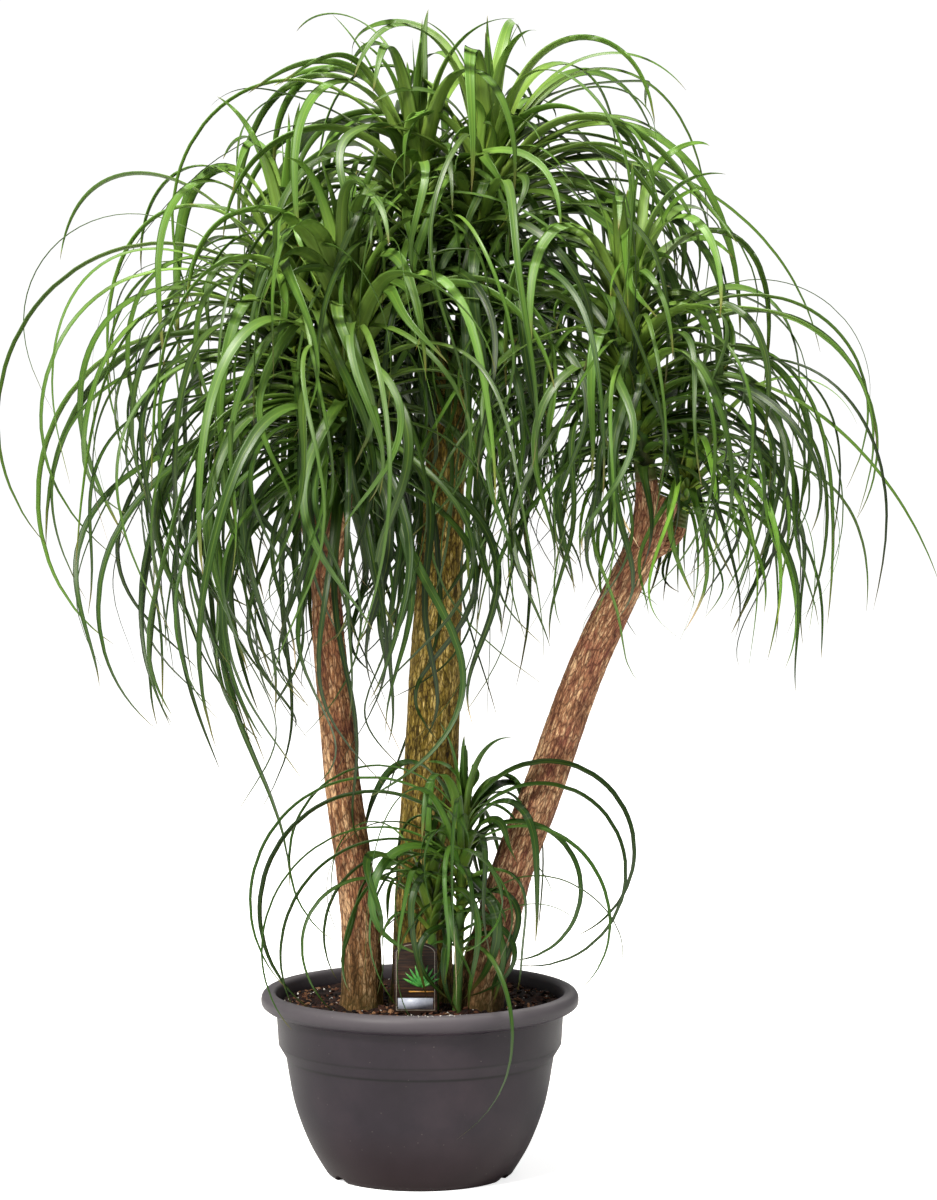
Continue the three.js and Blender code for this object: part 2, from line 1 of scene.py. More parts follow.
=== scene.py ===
# Ponytail palm in a nursery bowl: three barked trunks, six leafy crowns and two young shoots.
# Lengths are in metres, or in mm where a comment or a table says so. Angles are in degrees. +Z is up,
# the front is -Y, and the origin is the centre of the pot's underside.
import math
import random

import bmesh
import bpy
from mathutils import Matrix, Vector, noise
from mathutils.bvhtree import BVHTree


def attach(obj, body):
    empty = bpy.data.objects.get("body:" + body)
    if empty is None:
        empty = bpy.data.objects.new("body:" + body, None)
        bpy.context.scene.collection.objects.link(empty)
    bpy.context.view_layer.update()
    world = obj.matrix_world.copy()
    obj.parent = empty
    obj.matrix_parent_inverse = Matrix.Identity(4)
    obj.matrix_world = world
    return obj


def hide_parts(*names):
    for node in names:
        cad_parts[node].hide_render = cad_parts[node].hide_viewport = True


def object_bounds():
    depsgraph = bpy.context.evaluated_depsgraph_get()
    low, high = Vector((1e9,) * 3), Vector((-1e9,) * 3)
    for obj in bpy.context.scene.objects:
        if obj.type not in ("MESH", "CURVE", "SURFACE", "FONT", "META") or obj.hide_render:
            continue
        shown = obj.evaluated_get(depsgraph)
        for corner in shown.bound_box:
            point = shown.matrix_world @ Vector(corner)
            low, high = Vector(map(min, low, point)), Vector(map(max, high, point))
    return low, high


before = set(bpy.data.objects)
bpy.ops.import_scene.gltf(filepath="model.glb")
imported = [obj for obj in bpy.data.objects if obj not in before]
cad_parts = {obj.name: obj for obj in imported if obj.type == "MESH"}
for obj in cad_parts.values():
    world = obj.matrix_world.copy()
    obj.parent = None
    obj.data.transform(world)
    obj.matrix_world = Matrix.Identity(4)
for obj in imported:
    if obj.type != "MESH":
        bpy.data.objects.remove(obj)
solid_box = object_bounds()

MM = 0.001
UP = Vector((0, 0, 1))
SHARP = 30  # edges that turn further than this stay sharp

# Pot: radius and height in mm, as in the solid
POT_WALL = 3
POT_STEPS = 144
POT_SHARP = 32
BELLY = [(128, 0), (153, 43), (173.5, 98), (184.2, 154)]
BELLY_RINGS = 24
BAND = [(185.4, 161), (185.6, 164), (194.6, 179), (196.2, 182), (199, 227)]
RIM = [(211, 231), (214, 232.5), (218.6, 236.5), (220, 242), (219.2, 248.5), (215.5, 253.8), (209.5, 256),
       (203.5, 255.4), (199.8, 252), (198.6, 246)]
RIM_RINGS = 40
UNDERSIDE = [(0, 1.5), (112, 1.5), (118, 0), (126, 0)]
INNER_FLOOR = [(118, 4.5), (0, 4.5)]
FLOOR_RINGS = 3  # lowest rings of the belly, which the inside leaves out
NOTCH = {"radius": 14, "height": 9, "depth": 43, "first": -27, "count": 3}
POT_SHADE_LINES = [(163.5, 1.0), (180.5, 0.6)]  # height and depth of the painted shade, a dark line in each of the two lines of the step

# Soil, in mm
SOIL_TOP = 236
SOIL_RADIUS = 195.4
SOIL_FOOT = [(0, 5), (118, 5)]
SOIL_WALL_RINGS = 8
SOIL_RINGS = 70
SOIL_STEPS = 160
SEAT_GAP = 0.3
SOIL_HUMPS = [(3, 17, 21, 1, math.pi / 2), (2, 8, 9, 0, 2)]
CRUMBS = [(2.2, 90, 0), (1.4, 240, 0.3)]  # height, number to a metre and level in the noise
LUMP = {"sink": 0.35, "tilt": 0.7, "rough": 0.35}
RIM_TOP = 255.6  # where crumbs lie on the rim
RIM_FRONT = (-86, 6)  # middle and spread of the bearing of what lies on the rim
RIM_FLAT = (0.2035, 0.2125)  # radius in metres

# Trunks: rows of x, y, z and diameter in mm, from the soil up
TRUNKS = {
    "trunk_left": [(-81, -20, 228, 62), (-80, -20, 265, 56), (-82, -20, 353, 52), (-92, -20, 441, 50),
                   (-105, -20, 541, 48), (-119, -20, 681, 45), (-127, -20, 796, 41), (-129, -20, 851, 38),
                   (-129, -20, 861, 24)],
    "trunk_centre": [(0, 25, 228, 90), (2, 25, 268, 84), (4, 25, 344, 79), (6, 25, 426, 77),
                     (14, 26, 541, 75), (20, 27, 681, 71), (27, 28, 813, 63), (34, 30, 960, 54),
                     (39, 30, 1073, 49), (39, 30, 1087, 30)],
    "trunk_right": [(78, -30, 228, 74), (84, -30, 265, 67), (107, -30, 353, 58), (132, -30, 441, 56),
                    (170, -30, 541, 54), (219, -30, 681, 51), (270, -30, 797, 49), (315, -30, 891, 47),
                    (335, -30, 939, 43)],
}

# Bark, as in the solid, with cork on it
TRUNK_RINGS = 300
BRANCH = {"sides": 64, "rings": 60, "swell": 1.25, "relief": 0.5}
BRANCH_PATTERN = 1.2  # in metres, where a branch starts in the pattern along the bark
BARK = {"ridge": 0.02, "crack": 0.014, "ridges": 5, "drift": 2, "climb": 70, "cracks": 9, "crack_climb": 45}
BARK_FADE = {"foot": (0.02, 0.12), "top": (0.85, 0.98)}
# Broad, narrow and flaky cork: number to a metre across and along, and its shift in x and y
CORK_NOISE = [(105, 15, 0, 0), (230, 30, 9, 0), (430, 130, 0, 5)]
CORK_RELIEF = {"narrow": 2.6, "broad": 0.9, "flake": 0.16, "middle": 0.45, "lift": 1.3, "flake_lift": 0.25,
               "least": 0.3}
STUMP = {"foot": 20.5, "top": 19, "thick": 1.6, "proud": 0.5, "sides": 48}

# Crowns: a leafy stem from foot to tip, in mm. open is the side where its leaves grow longer, with by
# what share. old is what its lowest leaf is like, with its size as a share of the longest. A long leaf
# is azimuth, rise, length, bend, curl, width and its height up the stem. filler is the number of finer
# leaves added among the first ones, hearts of young leaves at the tip and wisps of long thin ones.
CROWNS = [
    {"name": "crown_centre_left", "trunk": "trunk_centre", "seed": 11, "turn": 116, "girth": 31,
     "fork": (38, 30, 1053), "foot": (17, 32, 1143), "tip": (-5, 32, 1363),
     "leaves": 27, "longest": 580, "width": 28, "bare": 0.08, "open": (100, 0.35), "filler": 96,
     "hearts": 12, "wisps": 9, "old": {"rise": -6, "size": 0.8, "bend": 1.6, "curl": 110},
     "long": [(330, 88, 215, 0.3, 0, 26, 0.98), (200, 86, 175, 0.3, 0, 26, 0.98),
              (60, 84, 190, 0.5, 0, 26, 0.96), (262, 80, 230, 3, 40, 25, 0.97),
              (150, 76, 230, 2.4, 30, 24, 0.97), (185, 73, 660, 1, 160, 12, 1),
              (166, 77, 510, 2.6, 65, 20, 1), (206, 55, 400, 0.7, 100, 24, 1),
              (160, 76, 290, 0.9, 0, 10, 0.9)]},
    {"name": "crown_centre_right", "trunk": "trunk_centre", "seed": 23, "turn": 75, "girth": 31,
     "fork": (40, 30, 1053), "foot": (56, 36, 1143), "tip": (96, 40, 1373),
     "leaves": 28, "longest": 640, "width": 28, "bare": 0.3, "open": (50, 0.35), "filler": 110,
     "hearts": 12, "wisps": 12, "old": {"rise": 0, "size": 0.8, "bend": 1.3, "curl": 110},
     "long": [(300, 88, 165, 0.3, 0, 26, 0.98), (40, 80, 200, 2.4, 30, 24, 0.97),
              (235, 82, 200, 3, 40, 24, 0.96), (5, 67, 520, 2.7, 20, 10, 1), (356, 43, 570, 2, 40, 25, 1),
              (8, 22, 600, 0.4, 75, 12, 1), (5, 72, 400, 2, 0, 10, 0.9)]},
    {"name": "crown_left_back", "trunk": "trunk_left", "seed": 37, "turn": 116, "girth": 26,
     "fork": (-128, -20, 828), "foot": (-163, 28, 973), "tip": (-184, 30, 1228),
     "leaves": 27, "longest": 600, "width": 27, "bare": 0.3, "open": (185, 0.12), "filler": 90,
     "hearts": 12, "wisps": 20, "old": {"rise": -14, "size": 0.9, "bend": 2, "curl": 100},
     "long": [(154, 86, 500, 4.5, 55, 30, 1), (182, 45, 750, 0.3, 170, 14, 0.93),
              (169, 39, 760, 0.2, 185, 15, 0.53), (177, 65, 500, 2.5, 70, 13, 1),
              (206, 34, 600, 3.7, -25, 15, 0.73)]},
    {"name": "crown_left_front", "trunk": "trunk_left", "seed": 41, "turn": 230, "girth": 27,
     "fork": (-128, -20, 828), "foot": (-103, -68, 958), "tip": (-95, -72, 1153),
     "leaves": 27, "longest": 600, "width": 28, "bare": 0.05, "open": (210, 0.2), "filler": 90,
     "hearts": 16, "wisps": 16, "old": {"rise": -20, "size": 0.8, "bend": 2, "curl": 95},
     "long": [(268, 80, 300, 3.4, 30, 29, 0.97), (300, 74, 400, 3.2, 20, 28, 0.93),
              (240, 70, 480, 3.6, 10, 27, 0.9), (315, 60, 560, 3.6, 10, 20, 0.85),
              (215, 62, 600, 3.4, 10, 20, 0.85)]},
    {"name": "crown_right", "trunk": "trunk_right", "seed": 59, "turn": 348, "girth": 30,
     "fork": (300, -30, 863), "foot": (309, -46, 963), "tip": (278, -52, 1168),
     "leaves": 24, "longest": 540, "width": 28, "bare": 0.08, "open": (0, 0.12), "filler": 84,
     "hearts": 15, "wisps": 16, "old": {"rise": 22, "size": 0.55, "bend": 1.6, "curl": 110},
     "long": [(173, 66, 500, 2.2, 85, 30, 0.73), (204, 82, 460, 4.5, 20, 30, 0.88),
              (268, 84, 330, 3.6, 20, 29, 0.95), (353, 59, 360, 3.8, 90, 27, 0.99),
              (20, 76, 250, 2.2, 0, 24, 0.96), (357, 56, 580, 0.2, 170, 14, 0.71),
              (353, 41, 600, 3.1, 40, 15, 0.6), (359, 46, 540, 1.8, 105, 14, 0.35),
              (183, 33, 500, 3.1, 35, 22, 0.63), (355, 4, 550, 1.4, -10, 11, 0.7)]},
    {"name": "crown_right_small", "trunk": "trunk_right", "seed": 67, "turn": 96, "girth": 20,
     "fork": (303, -30, 859), "foot": (356, -4, 897), "tip": (374, 2, 978),
     "leaves": 14, "longest": 380, "width": 18, "bare": 0.2, "open": (0, 0.1), "filler": 40,
     "hearts": 5, "wisps": 8, "old": {"rise": 10, "size": 0.7, "bend": 1.8, "curl": 90},
     "long": []},
    {"name": "shoot_front", "trunk": None, "seed": 71, "turn": 24, "girth": 13,
     "fork": None, "foot": (49, -72, 163), "tip": (60, -74, 498),
     "leaves": 10, "longest": 340, "width": 20, "bare": 0.38, "open": (270, 0.1), "filler": 40,
     "hearts": 6, "wisps": 8, "old": {"rise": 24, "size": 0.8, "bend": 2.2, "curl": 160},
     "long": [(340, 88, 115, 0.2, 0, 20, 0.98), (154, 62, 270, 3.1, -15, 20, 1),
              (181, 48, 550, 0.2, 190, 17, 0.96), (183, 50, 540, 0.2, 180, 12, 1),
              (180, 49, 510, 0.2, 175, 10, 0.82), (176, 65, 490, 0.2, 215, 9, 1),
              (190, 36, 430, 0.2, 150, 12, 0.84), (175, 43, 330, 0.2, 160, 11, 0.78),
              (10, 73, 500, 0.2, 230, 16, 0.98), (9, 59, 550, 0.2, 255, 13, 0.97),
              (18, 61, 360, 3.7, 50, 20, 0.95), (358, 50, 380, 0.2, 230, 16, 0.9),
              (332, 64, 310, 4.5, 45, 17, 0.93), (8, 45, 400, 0.2, 180, 10, 0.88),
              (245, 60, 520, 3, 0, 12, 0.8), (268, 58, 520, 3.1, 0, 12, 0.8)]},
    {"name": "shoot_low", "trunk": None, "seed": 83, "turn": 100, "girth": 13,
     "fork": None, "foot": (24, -52, 163), "tip": (14, -54, 408),
     "leaves": 11, "longest": 380, "width": 18, "bare": 0.42, "open": (225, 0.15), "filler": 40,
     "hearts": 4, "wisps": 5, "old": {"rise": 12, "size": 0.7, "bend": 2.4, "curl": 130},
     "long": []},
]

# Drifts of like leaves: crown, count and the ranges of azimuth, rise, length, bend, curl and width
DRIFTS = [
    ("crown_left_back", 14, (160, 235), (-5, 35), (480, 640), (1, 2), (60, 130), (11, 18)),
    ("crown_left_front", 16, (190, 290), (-10, 30), (460, 600), (1, 2), (60, 130), (12, 20)),
    ("crown_centre_right", 16, (-35, 15), (25, 62), (420, 560), (1.2, 2.2), (60, 120), (14, 24)),
    ("crown_centre_right", 8, (-70, -35), (-5, 30), (480, 620), (1.5, 2.5), (20, 80), (12, 18)),
    ("crown_right", 12, (165, 240), (5, 45), (430, 580), (1, 2.2), (60, 120), (12, 18)),
    ("crown_right", 12, (-35, 35), (5, 40), (430, 560), (1, 2), (60, 120), (11, 17)),
]

# Age of a stem's foot, from green (0) to brown (1)
STEM_AGE = {"crown_left_back": 0.45, "shoot_front": 0.7, "shoot_low": 0.7}
STEM_AGE_USUAL = 0.75

# Leaf rule, as in the solid. SCATTER is the most that each draw changes, in the order of the draws.
GOLDEN_ANGLE = 137.508
YOUNG = {"rise": 84, "size": 0.4, "bend": 1.1, "curl": 50}
FULL = {"size_age": 0.45, "bend_age": 0.3, "ageing": 0.5}
LONGEST_SHARE = 1.25
OLD_WIDTH = 0.6
CROWDING = 0.9
SCATTER = {"azimuth": 14, "rise": 12, "length": 0.2, "bend": 0.45, "curl": 45, "sway": 45, "twist": 90,
           "wave": 0.7, "phase": 180}
THIN = {"chance": 0.1, "stretch": 1.2}
STIFF_ROOT = {"grown": (0.2, 1.7, 0.45), "long": (0.5, 1.2, 0.35)}
LONG_LEAF = {"sway": 0, "twist": 80, "wave": 0.08, "phase": 40}
LONG_AGE = {"crown": 0.12, "shoot": 0.6}
WAVE = {"across": 9, "above": 7, "turn": 1.7, "depth": 0.7}
LEAF_STEPS = 40
SOLID_RINGS = {"long": 6, "grown": 4}
TURNS_TRIED = [0, 8, -8, 16, -16, 24, -24]
LENGTHS_TRIED = [1, 0.8, 0.62]
SAME_LEAF = 2 * MM
BOX_ROOM = 10 * MM
LEAF_ROOM = 1 * MM
DRY_TIPPED = ("shoot_front", 268)

# Blades, in mm. gutter, at the root and further out, and thick are shares of the width.
LEAF_ROOT = {"width": 0.6, "share": 0.12}
LEAF_TAPER = 0.65
BLADE = {"sides": 8, "rings": 32, "narrowest": 0.35, "gutter": (0.24, 0.07), "flat_from": 0.6,
         "thick": 0.08}
THICKEST = 0.0011  # in metres
STEM = {"sides": 32, "rings": 60, "tip": 12, "ridge": 0.035, "climb": 90}

# Added leaves. A pair in HEART, and bend and thinnest in FILLER, run from the youngest leaf to the
# oldest. The other pairs are ranges.
FILLER = {"seed": 1000, "turn": 60, "sway": 1.5, "wave": 1.3, "bend": (1, 0.75), "curl": 30,
          "length": (0.8, 1.05), "thinnest": (0.75, 0.45), "widest": 1.12, "shoot_width": 1.3,
          "front_cut": 0.6, "front_age": (0.1, 0.5), "dry_age": 0.5, "dry_chance": 0.12}
HEART = {"rise": (89, 76), "length": (210, 560), "bend": (0.3, 4.2), "curl": (0, 45),
         "height": (1, 0.85), "age": (0, 0.1)}
HEART_DRAWN = {"sway": (-25, 25), "twist": (-50, 50), "width": (0.9, 1.15)}
HEART_TURN, WISP_TURN = 30, 17
HEART_LONGEST = 600  # the longest leaf of the crown that the hearts' lengths are meant for
WISP = {"rise": (25, 75), "length": (0.95, 1.3), "bend": (0.3, 1.4), "curl": (110, 210), "sway": (-60, 60),
        "twist": (-120, 120), "wave": (0, 0.6), "phase": (0, 360), "width": (7, 11), "height": (0.4, 0.95)}
DRIFT = {"sway": (-80, 80), "twist": (-110, 110), "wave": (0.2, 0.9), "phase": (0, 360)}
DRIFT_RISE = (-20, 85)  # from the oldest leaves to the youngest

# Label, in mm from the middle of its foot
TAG = {"x": -5, "front": -93.2, "z": 240, "width": 59, "height": 97, "arch": 14, "thick": 1.2}
TAG_STAKE = [(-7, 0), (-7, -52), (0, -68), (7, -52), (7, 0)]
TAG_ARCH_STEPS = 24
FAN = {"x": 8, "z": 34, "leaves": 9, "lean": 62, "length": 25, "longer": 8, "width": 1.9, "steps": 6}
BAR = (-9, 28, 25, 29.6)
BLOCK = (-24, 5, 24, 20)
PRINT = {"thick": 0.1, "line": 0.06, "panel": 0.12, "motif": 0.2, "step": 0.02}

# Studio: a lamp is its place, the height it aims at, its size and its power
LAMPS = {"key": ((-2.2, -3.4, 3.6), 0.9, 1.2, 345), "overhead": ((0.2, -0.6, 4.6), 0.8, 1.3, 300),
         "rim": ((1.2, 3.6, 3.0), 1.0, 2.0, 20)}
LAMP_COLOUR = (1, 0.97, 0.91)
FLOOR_GLOW = (0.75, 0.04)  # as the camera sees it, and as it lights the plant
SKY_GLOW = (1.05, 0.34)
CAMERA_PLACE = (0.0672, -5.40, 1.210)
CAMERA_DOWN = 4.38
SENSOR = 36
FOCAL_PIXELS, FRAME_PIXELS = 3939, 1200

# Bark of each trunk: the name of its material, its sides and the colours of groove, middle, ridge and broad
# patches
BARKS = {
    "trunk_left": ("bark_left", 104, ("#3c2217", "#936742", "#dcb387", "#8a4f3e")),
    "trunk_centre": ("bark_centre", 144, ("#2a1e0b", "#937a30", "#e6c878", "#6d651f")),
    "trunk_right": ("bark_right", 110, ("#402419", "#996c4c", "#e0bb8f", "#935247")),
}

# Colours of the leaves: root, young, body, deep and tip
LEAVES = {
    "leaf": ("#7f9634", "#6b8638", "#486723", "#1e340c", "#665b2c"),
    "young_leaf": ("#98a73e", "#6f8c30", "#587a28", "#44681e", "#767434"),
    "shoot_leaf": ("#7c8f34", "#56762a", "#38591d", "#203b0e", "#665b2c"),
}


# Numbers
def lerp(low, high, share):
    return low + (high - low) * share


def smooth(value, low=0.0, high=1.0):
    share = min(max((value - low) / (high - low), 0.0), 1.0)
    return share * share * (3 - 2 * share)


def metres(point):
    return Vector(point) * MM


def linear(code):
    """A web colour code as linear red, green, blue and alpha."""
    parts = [int(code[i:i + 2], 16) / 255 for i in (1, 3, 5)]
    return (*[((c + 0.055) / 1.055) ** 2.4 if c > 0.04045 else c / 12.92 for c in parts], 1)


# Curves
def spline_point(points, share):
    """A point on a smooth curve through the pot profile's points, which are equal shares apart."""
    spot = share * (len(points) - 1)
    low = min(int(spot), len(points) - 2)
    t = spot - low
    p0, p1 = points[max(low - 1, 0)], points[low]
    p2, p3 = points[low + 1], points[min(low + 2, len(points) - 1)]
    out = []
    for a, b, c, d in zip(p0, p1, p2, p3):
        v0, v1 = (c - a) / 2, (d - b) / 2
        out.append((2 * b - 2 * c + v0 + v1) * t ** 3 + (-3 * b + 3 * c - 2 * v0 - v1) * t * t + v0 * t + b)
    return tuple(out)


class Spine:
    """The middle line of a trunk: a smooth curve through its rows, with no loop where they lie close."""

    def __init__(self, rows):
        self.points = [metres(row[:3]) for row in rows]
        self.widths = [row[3] * MM for row in rows]
        self.last = len(rows) - 1
        self.lengths = [0.0]
        for a, b in zip(self.points, self.points[1:]):
            self.lengths.append(self.lengths[-1] + (b - a).length)

    def point(self, share):
        low = min(int(share * self.last), self.last - 1)
        t = share * self.last - low
        p1, p2 = self.points[low], self.points[low + 1]
        p0 = self.points[low - 1] if low > 0 else 2 * p1 - p2
        p3 = self.points[low + 2] if low + 2 <= self.last else 2 * p2 - p1
        d0, d1, d2 = [(b - a).length ** 0.5 for a, b in ((p0, p1), (p1, p2), (p2, p3))]
        m1 = ((p1 - p0) / d0 - (p2 - p0) / (d0 + d1) + (p2 - p1) / d1) * d1
        m2 = ((p2 - p1) / d1 - (p3 - p1) / (d1 + d2) + (p3 - p2) / d2) * d1
        return (p1 + m1 * t + (3 * p2 - 3 * p1 - 2 * m1 - m2) * t ** 2
                + (2 * p1 - 2 * p2 + m1 + m2) * t ** 3)

    def width(self, share):
        low = min(int(share * self.last), self.last - 1)
        return lerp(self.widths[low], self.widths[low + 1], share * self.last - low)

    def length(self, share):
        low = min(int(share * self.last), self.last - 1)
        return lerp(self.lengths[low], self.lengths[low + 1], share * self.last - low)

    def ahead(self, share):
        step = 0.002
        return (self.point(min(share + step, 1)) - self.point(max(share - step, 0))).normalized()


# Pieces
def as_mesh(name, shape):
    mesh = bpy.data.meshes.new(name)
    shape.to_mesh(mesh)
    shape.free()
    return mesh


def placed(name, data):
    """An object of the data, in the scene."""
    thing = bpy.data.objects.new(name, data)
    bpy.context.scene.collection.objects.link(thing)
    return thing


def make_piece(name, shape, material, slot, replaces=()):
    mesh = as_mesh(name, shape)
    mesh.materials.append(material)
    mesh.polygons.foreach_set("use_smooth", [True] * len(mesh.polygons))
    piece = placed(name, mesh)
    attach(piece, "root")
    if replaces:
        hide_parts(*replaces)
    return piece


def crease(piece, angle):
    """Edges that turn more sharply than the angle stay sharp."""
    piece.data.set_sharp_from_angle(angle=math.radians(angle))


def spun(profile, steps):
    """A closed solid from a profile of radius and height in mm that starts and ends on the axis."""
    shape = bmesh.new()
    dots = [shape.verts.new((radius * MM, 0, height * MM)) for radius, height in profile]
    edges = [shape.edges.new(pair) for pair in zip(dots, dots[1:])]
    bmesh.ops.spin(shape, geom=dots + edges, axis=UP, cent=(0, 0, 0), angle=math.tau, steps=steps,
                   use_merge=True)
    bmesh.ops.remove_doubles(shape, verts=shape.verts, dist=1e-6)
    bmesh.ops.recalc_face_normals(shape, faces=shape.faces)
    return shape


def round_bar(sides, rings):
    """A closed bar of radius 1 from z = 0 to z = 1, cut into rings."""
    shape = bmesh.new()
    bmesh.ops.create_cone(shape, cap_ends=True, segments=sides, radius1=1, radius2=1, depth=1,
                          matrix=Matrix.Translation((0, 0, 0.5)))
    upright = [e for e in shape.edges if abs(e.verts[0].co.z - e.verts[1].co.z) > 0.5]
    bmesh.ops.subdivide_edges(shape, edges=upright, cuts=rings - 1, use_grid_fill=True)
    return shape


def joined(shapes):
    whole = bmesh.new()
    for shape in shapes:
        mesh = as_mesh("part", shape)
        whole.from_mesh(mesh)
        bpy.data.meshes.remove(mesh)
    return whole


def apply_modifiers(piece):
    seen = piece.evaluated_get(bpy.context.evaluated_depsgraph_get())
    mesh = bpy.data.meshes.new_from_object(seen)
    piece.modifiers.clear()
    piece.data = mesh


# Node groups and materials
def new_group(name, inputs, outputs):
    """A group with a Vector and the named numbers going in, and the named numbers coming out."""
    group = bpy.data.node_groups.new(name, "ShaderNodeTree")
    group.interface.new_socket("Vector", in_out="INPUT", socket_type="NodeSocketVector")
    for label, value in inputs.items():
        socket = group.interface.new_socket(label, in_out="INPUT", socket_type="NodeSocketFloat")
        socket.default_value = value
    for label in outputs:
        group.interface.new_socket(label, in_out="OUTPUT", socket_type="NodeSocketFloat")
    inside, out = group.nodes.new("NodeGroupInput"), group.nodes.new("NodeGroupOutput")
    return group, inside.outputs, out.inputs


def add(tree, kind, links=None, **values):
    """A node with its own values and its linked inputs, as name or number to output socket."""
    node = tree.nodes.new(kind)
    for name, value in values.items():
        if hasattr(node, name):
            setattr(node, name, value)
        else:
            node.inputs[name].default_value = value
    for name, source in (links or {}).items():
        tree.links.new(source, node.inputs[name])
    return node


def fill_sockets(tree, sockets, values):
    for socket, value in zip(sockets, values):
        if isinstance(value, (int, float, tuple)):
            socket.default_value = value
        elif value is not None:
            tree.links.new(value, socket)


def maths(tree, operation, first, second=0.0, clamp=False, third=None):
    """The result of a maths node on sockets or numbers."""
    node = tree.nodes.new("ShaderNodeMath")
    node.operation = operation
    node.use_clamp = clamp
    fill_sockets(tree, node.inputs, (first, second, third))
    return node.outputs[0]


def weighted(tree, parts, base):
    """The sum of base and of each socket, less one half, times its weight."""
    total = base
    for socket, weight in parts:
        part = maths(tree, "MULTIPLY", maths(tree, "SUBTRACT", socket, 0.5), weight)
        total = maths(tree, "ADD", part, total)
    return total


def blended(tree, share, first, second, blend="MIX"):
    node = tree.nodes.new("ShaderNodeMix")
    node.data_type = "RGBA"
    node.blend_type = blend
    fill_sockets(tree, [s for s in node.inputs if s.enabled], (share, first, second))
    return [s for s in node.outputs if s.enabled][0]


def stained(tree, colour, mask, most, code):
    """The colour with another one over it, as far as the mask times most."""
    return blended(tree, maths(tree, "MULTIPLY", mask, most), colour, linear(code))


def ramp(tree, source, stops):
    """A colour ramp from pairs of place and colour code."""
    node = tree.nodes.new("ShaderNodeValToRGB")
    tree.links.new(source, node.inputs[0])
    elements = node.color_ramp.elements
    while len(elements) < len(stops):
        elements.new(0.5)
    for element, (place, code) in zip(elements, stops):
        element.position = place
        element.color = linear(code)
    return node.outputs[0]


def object_place(tree):
    return add(tree, "ShaderNodeTexCoord").outputs["Object"]


def height_of(tree, place):
    return add(tree, "ShaderNodeSeparateXYZ", {0: place}).outputs[2]


def attribute(tree, label, output="Fac"):
    return add(tree, "ShaderNodeAttribute", attribute_name=label).outputs[output]


def drawn_out(group, inside):
    """The group's vector, scaled by Across in x and y and by Along in z."""
    sizes = add(group, "ShaderNodeCombineXYZ", {0: inside["Across"], 1: inside["Across"], 2: inside["Along"]})
    return add(group, "ShaderNodeVectorMath", {0: inside["Vector"], 1: sizes.outputs[0]},
               operation="MULTIPLY").outputs[0]


def grain_group():
    """Noise drawn out along Z: a mask of fine streaks and a mask of broad patches."""
    group, inside, out = new_group("grain", {"Across": 200.0, "Along": 20.0, "Patch": 14.0},
                                   ["Streaks", "Patches"])
    streaks = add(group, "ShaderNodeTexNoise", {"Vector": drawn_out(group, inside)}, Scale=1.0, Detail=4.0,
                  Roughness=0.6)
    patches = add(group, "ShaderNodeTexNoise", {"Vector": inside["Vector"], "Scale": inside["Patch"]},
                  Detail=3.0)
    group.links.new(streaks.outputs[0], out["Streaks"])
    group.links.new(patches.outputs[0], out["Patches"])
    return group


def cork_group():
    """Long corky plates with cracks between them: how far from a crack, and each plate's own tone."""
    group, inside, out = new_group("cork", {"Across": 150.0, "Along": 42.0}, ["Plate", "Tone"])
    drawn = drawn_out(group, inside)
    warp = add(group, "ShaderNodeTexNoise", {"Vector": drawn}, Scale=1.3, Detail=2.0)
    bent = add(group, "ShaderNodeVectorMath", {0: warp.outputs[1], 2: drawn}, operation="MULTIPLY_ADD")
    bent.inputs[1].default_value = (0.6, 0.6, 0.6)
    edges = add(group, "ShaderNodeTexVoronoi", {"Vector": bent.outputs[0]}, Scale=1.0,
                feature="DISTANCE_TO_EDGE")
    cells = add(group, "ShaderNodeTexVoronoi", {"Vector": bent.outputs[0]}, Scale=1.0)
    tone = add(group, "ShaderNodeSeparateXYZ", {0: cells.outputs["Color"]})
    group.links.new(maths(group, "MULTIPLY", edges.outputs["Distance"], 5.0, True), out["Plate"])
    group.links.new(tone.outputs[0], out["Tone"])
    return group


def speckle_group():
    """Small pits, broad clouds and dust over an even surface."""
    group, inside, out = new_group("speckle", {"Fine": 900.0, "Broad": 12.0}, ["Pits", "Clouds", "Dust"])
    vector = inside["Vector"]
    pits = add(group, "ShaderNodeTexNoise", {"Vector": vector, "Scale": inside["Fine"]}, Detail=2.0)
    clouds = add(group, "ShaderNodeTexNoise", {"Vector": vector, "Scale": inside["Broad"]}, Detail=5.0,
                 Roughness=0.62)
    spots = add(group, "ShaderNodeTexVoronoi", {"Vector": vector}, Scale=70.0)
    near = maths(group, "LESS_THAN", spots.outputs["Distance"], 0.06)
    group.links.new(pits.outputs[0], out["Pits"])
    group.links.new(clouds.outputs[0], out["Clouds"])
    group.links.new(maths(group, "MULTIPLY", near, clouds.outputs[0]), out["Dust"])
    return group


def new_material(name, roughness, specular):
    material = bpy.data.materials.new(name)
    material.use_nodes = True
    tree = material.node_tree
    shader = tree.nodes["Principled BSDF"]
    shader.inputs["Roughness"].default_value = roughness
    shader.inputs["Specular IOR Level"].default_value = specular
    return material, tree, shader


def use_group(tree, group, vector, **values):
    node = tree.nodes.new("ShaderNodeGroup")
    node.node_tree = group
    tree.links.new(vector, node.inputs["Vector"])
    for name, value in values.items():
        node.inputs[name].default_value = value
    return node.outputs


def bumped(tree, shader, height, strength, distance):
    bump = add(tree, "ShaderNodeBump", {"Height": height}, Strength=strength, Distance=distance)
    tree.links.new(bump.outputs[0], shader.inputs["Normal"])


GRAIN = grain_group()
CORK = cork_group()
SPECKLE = speckle_group()


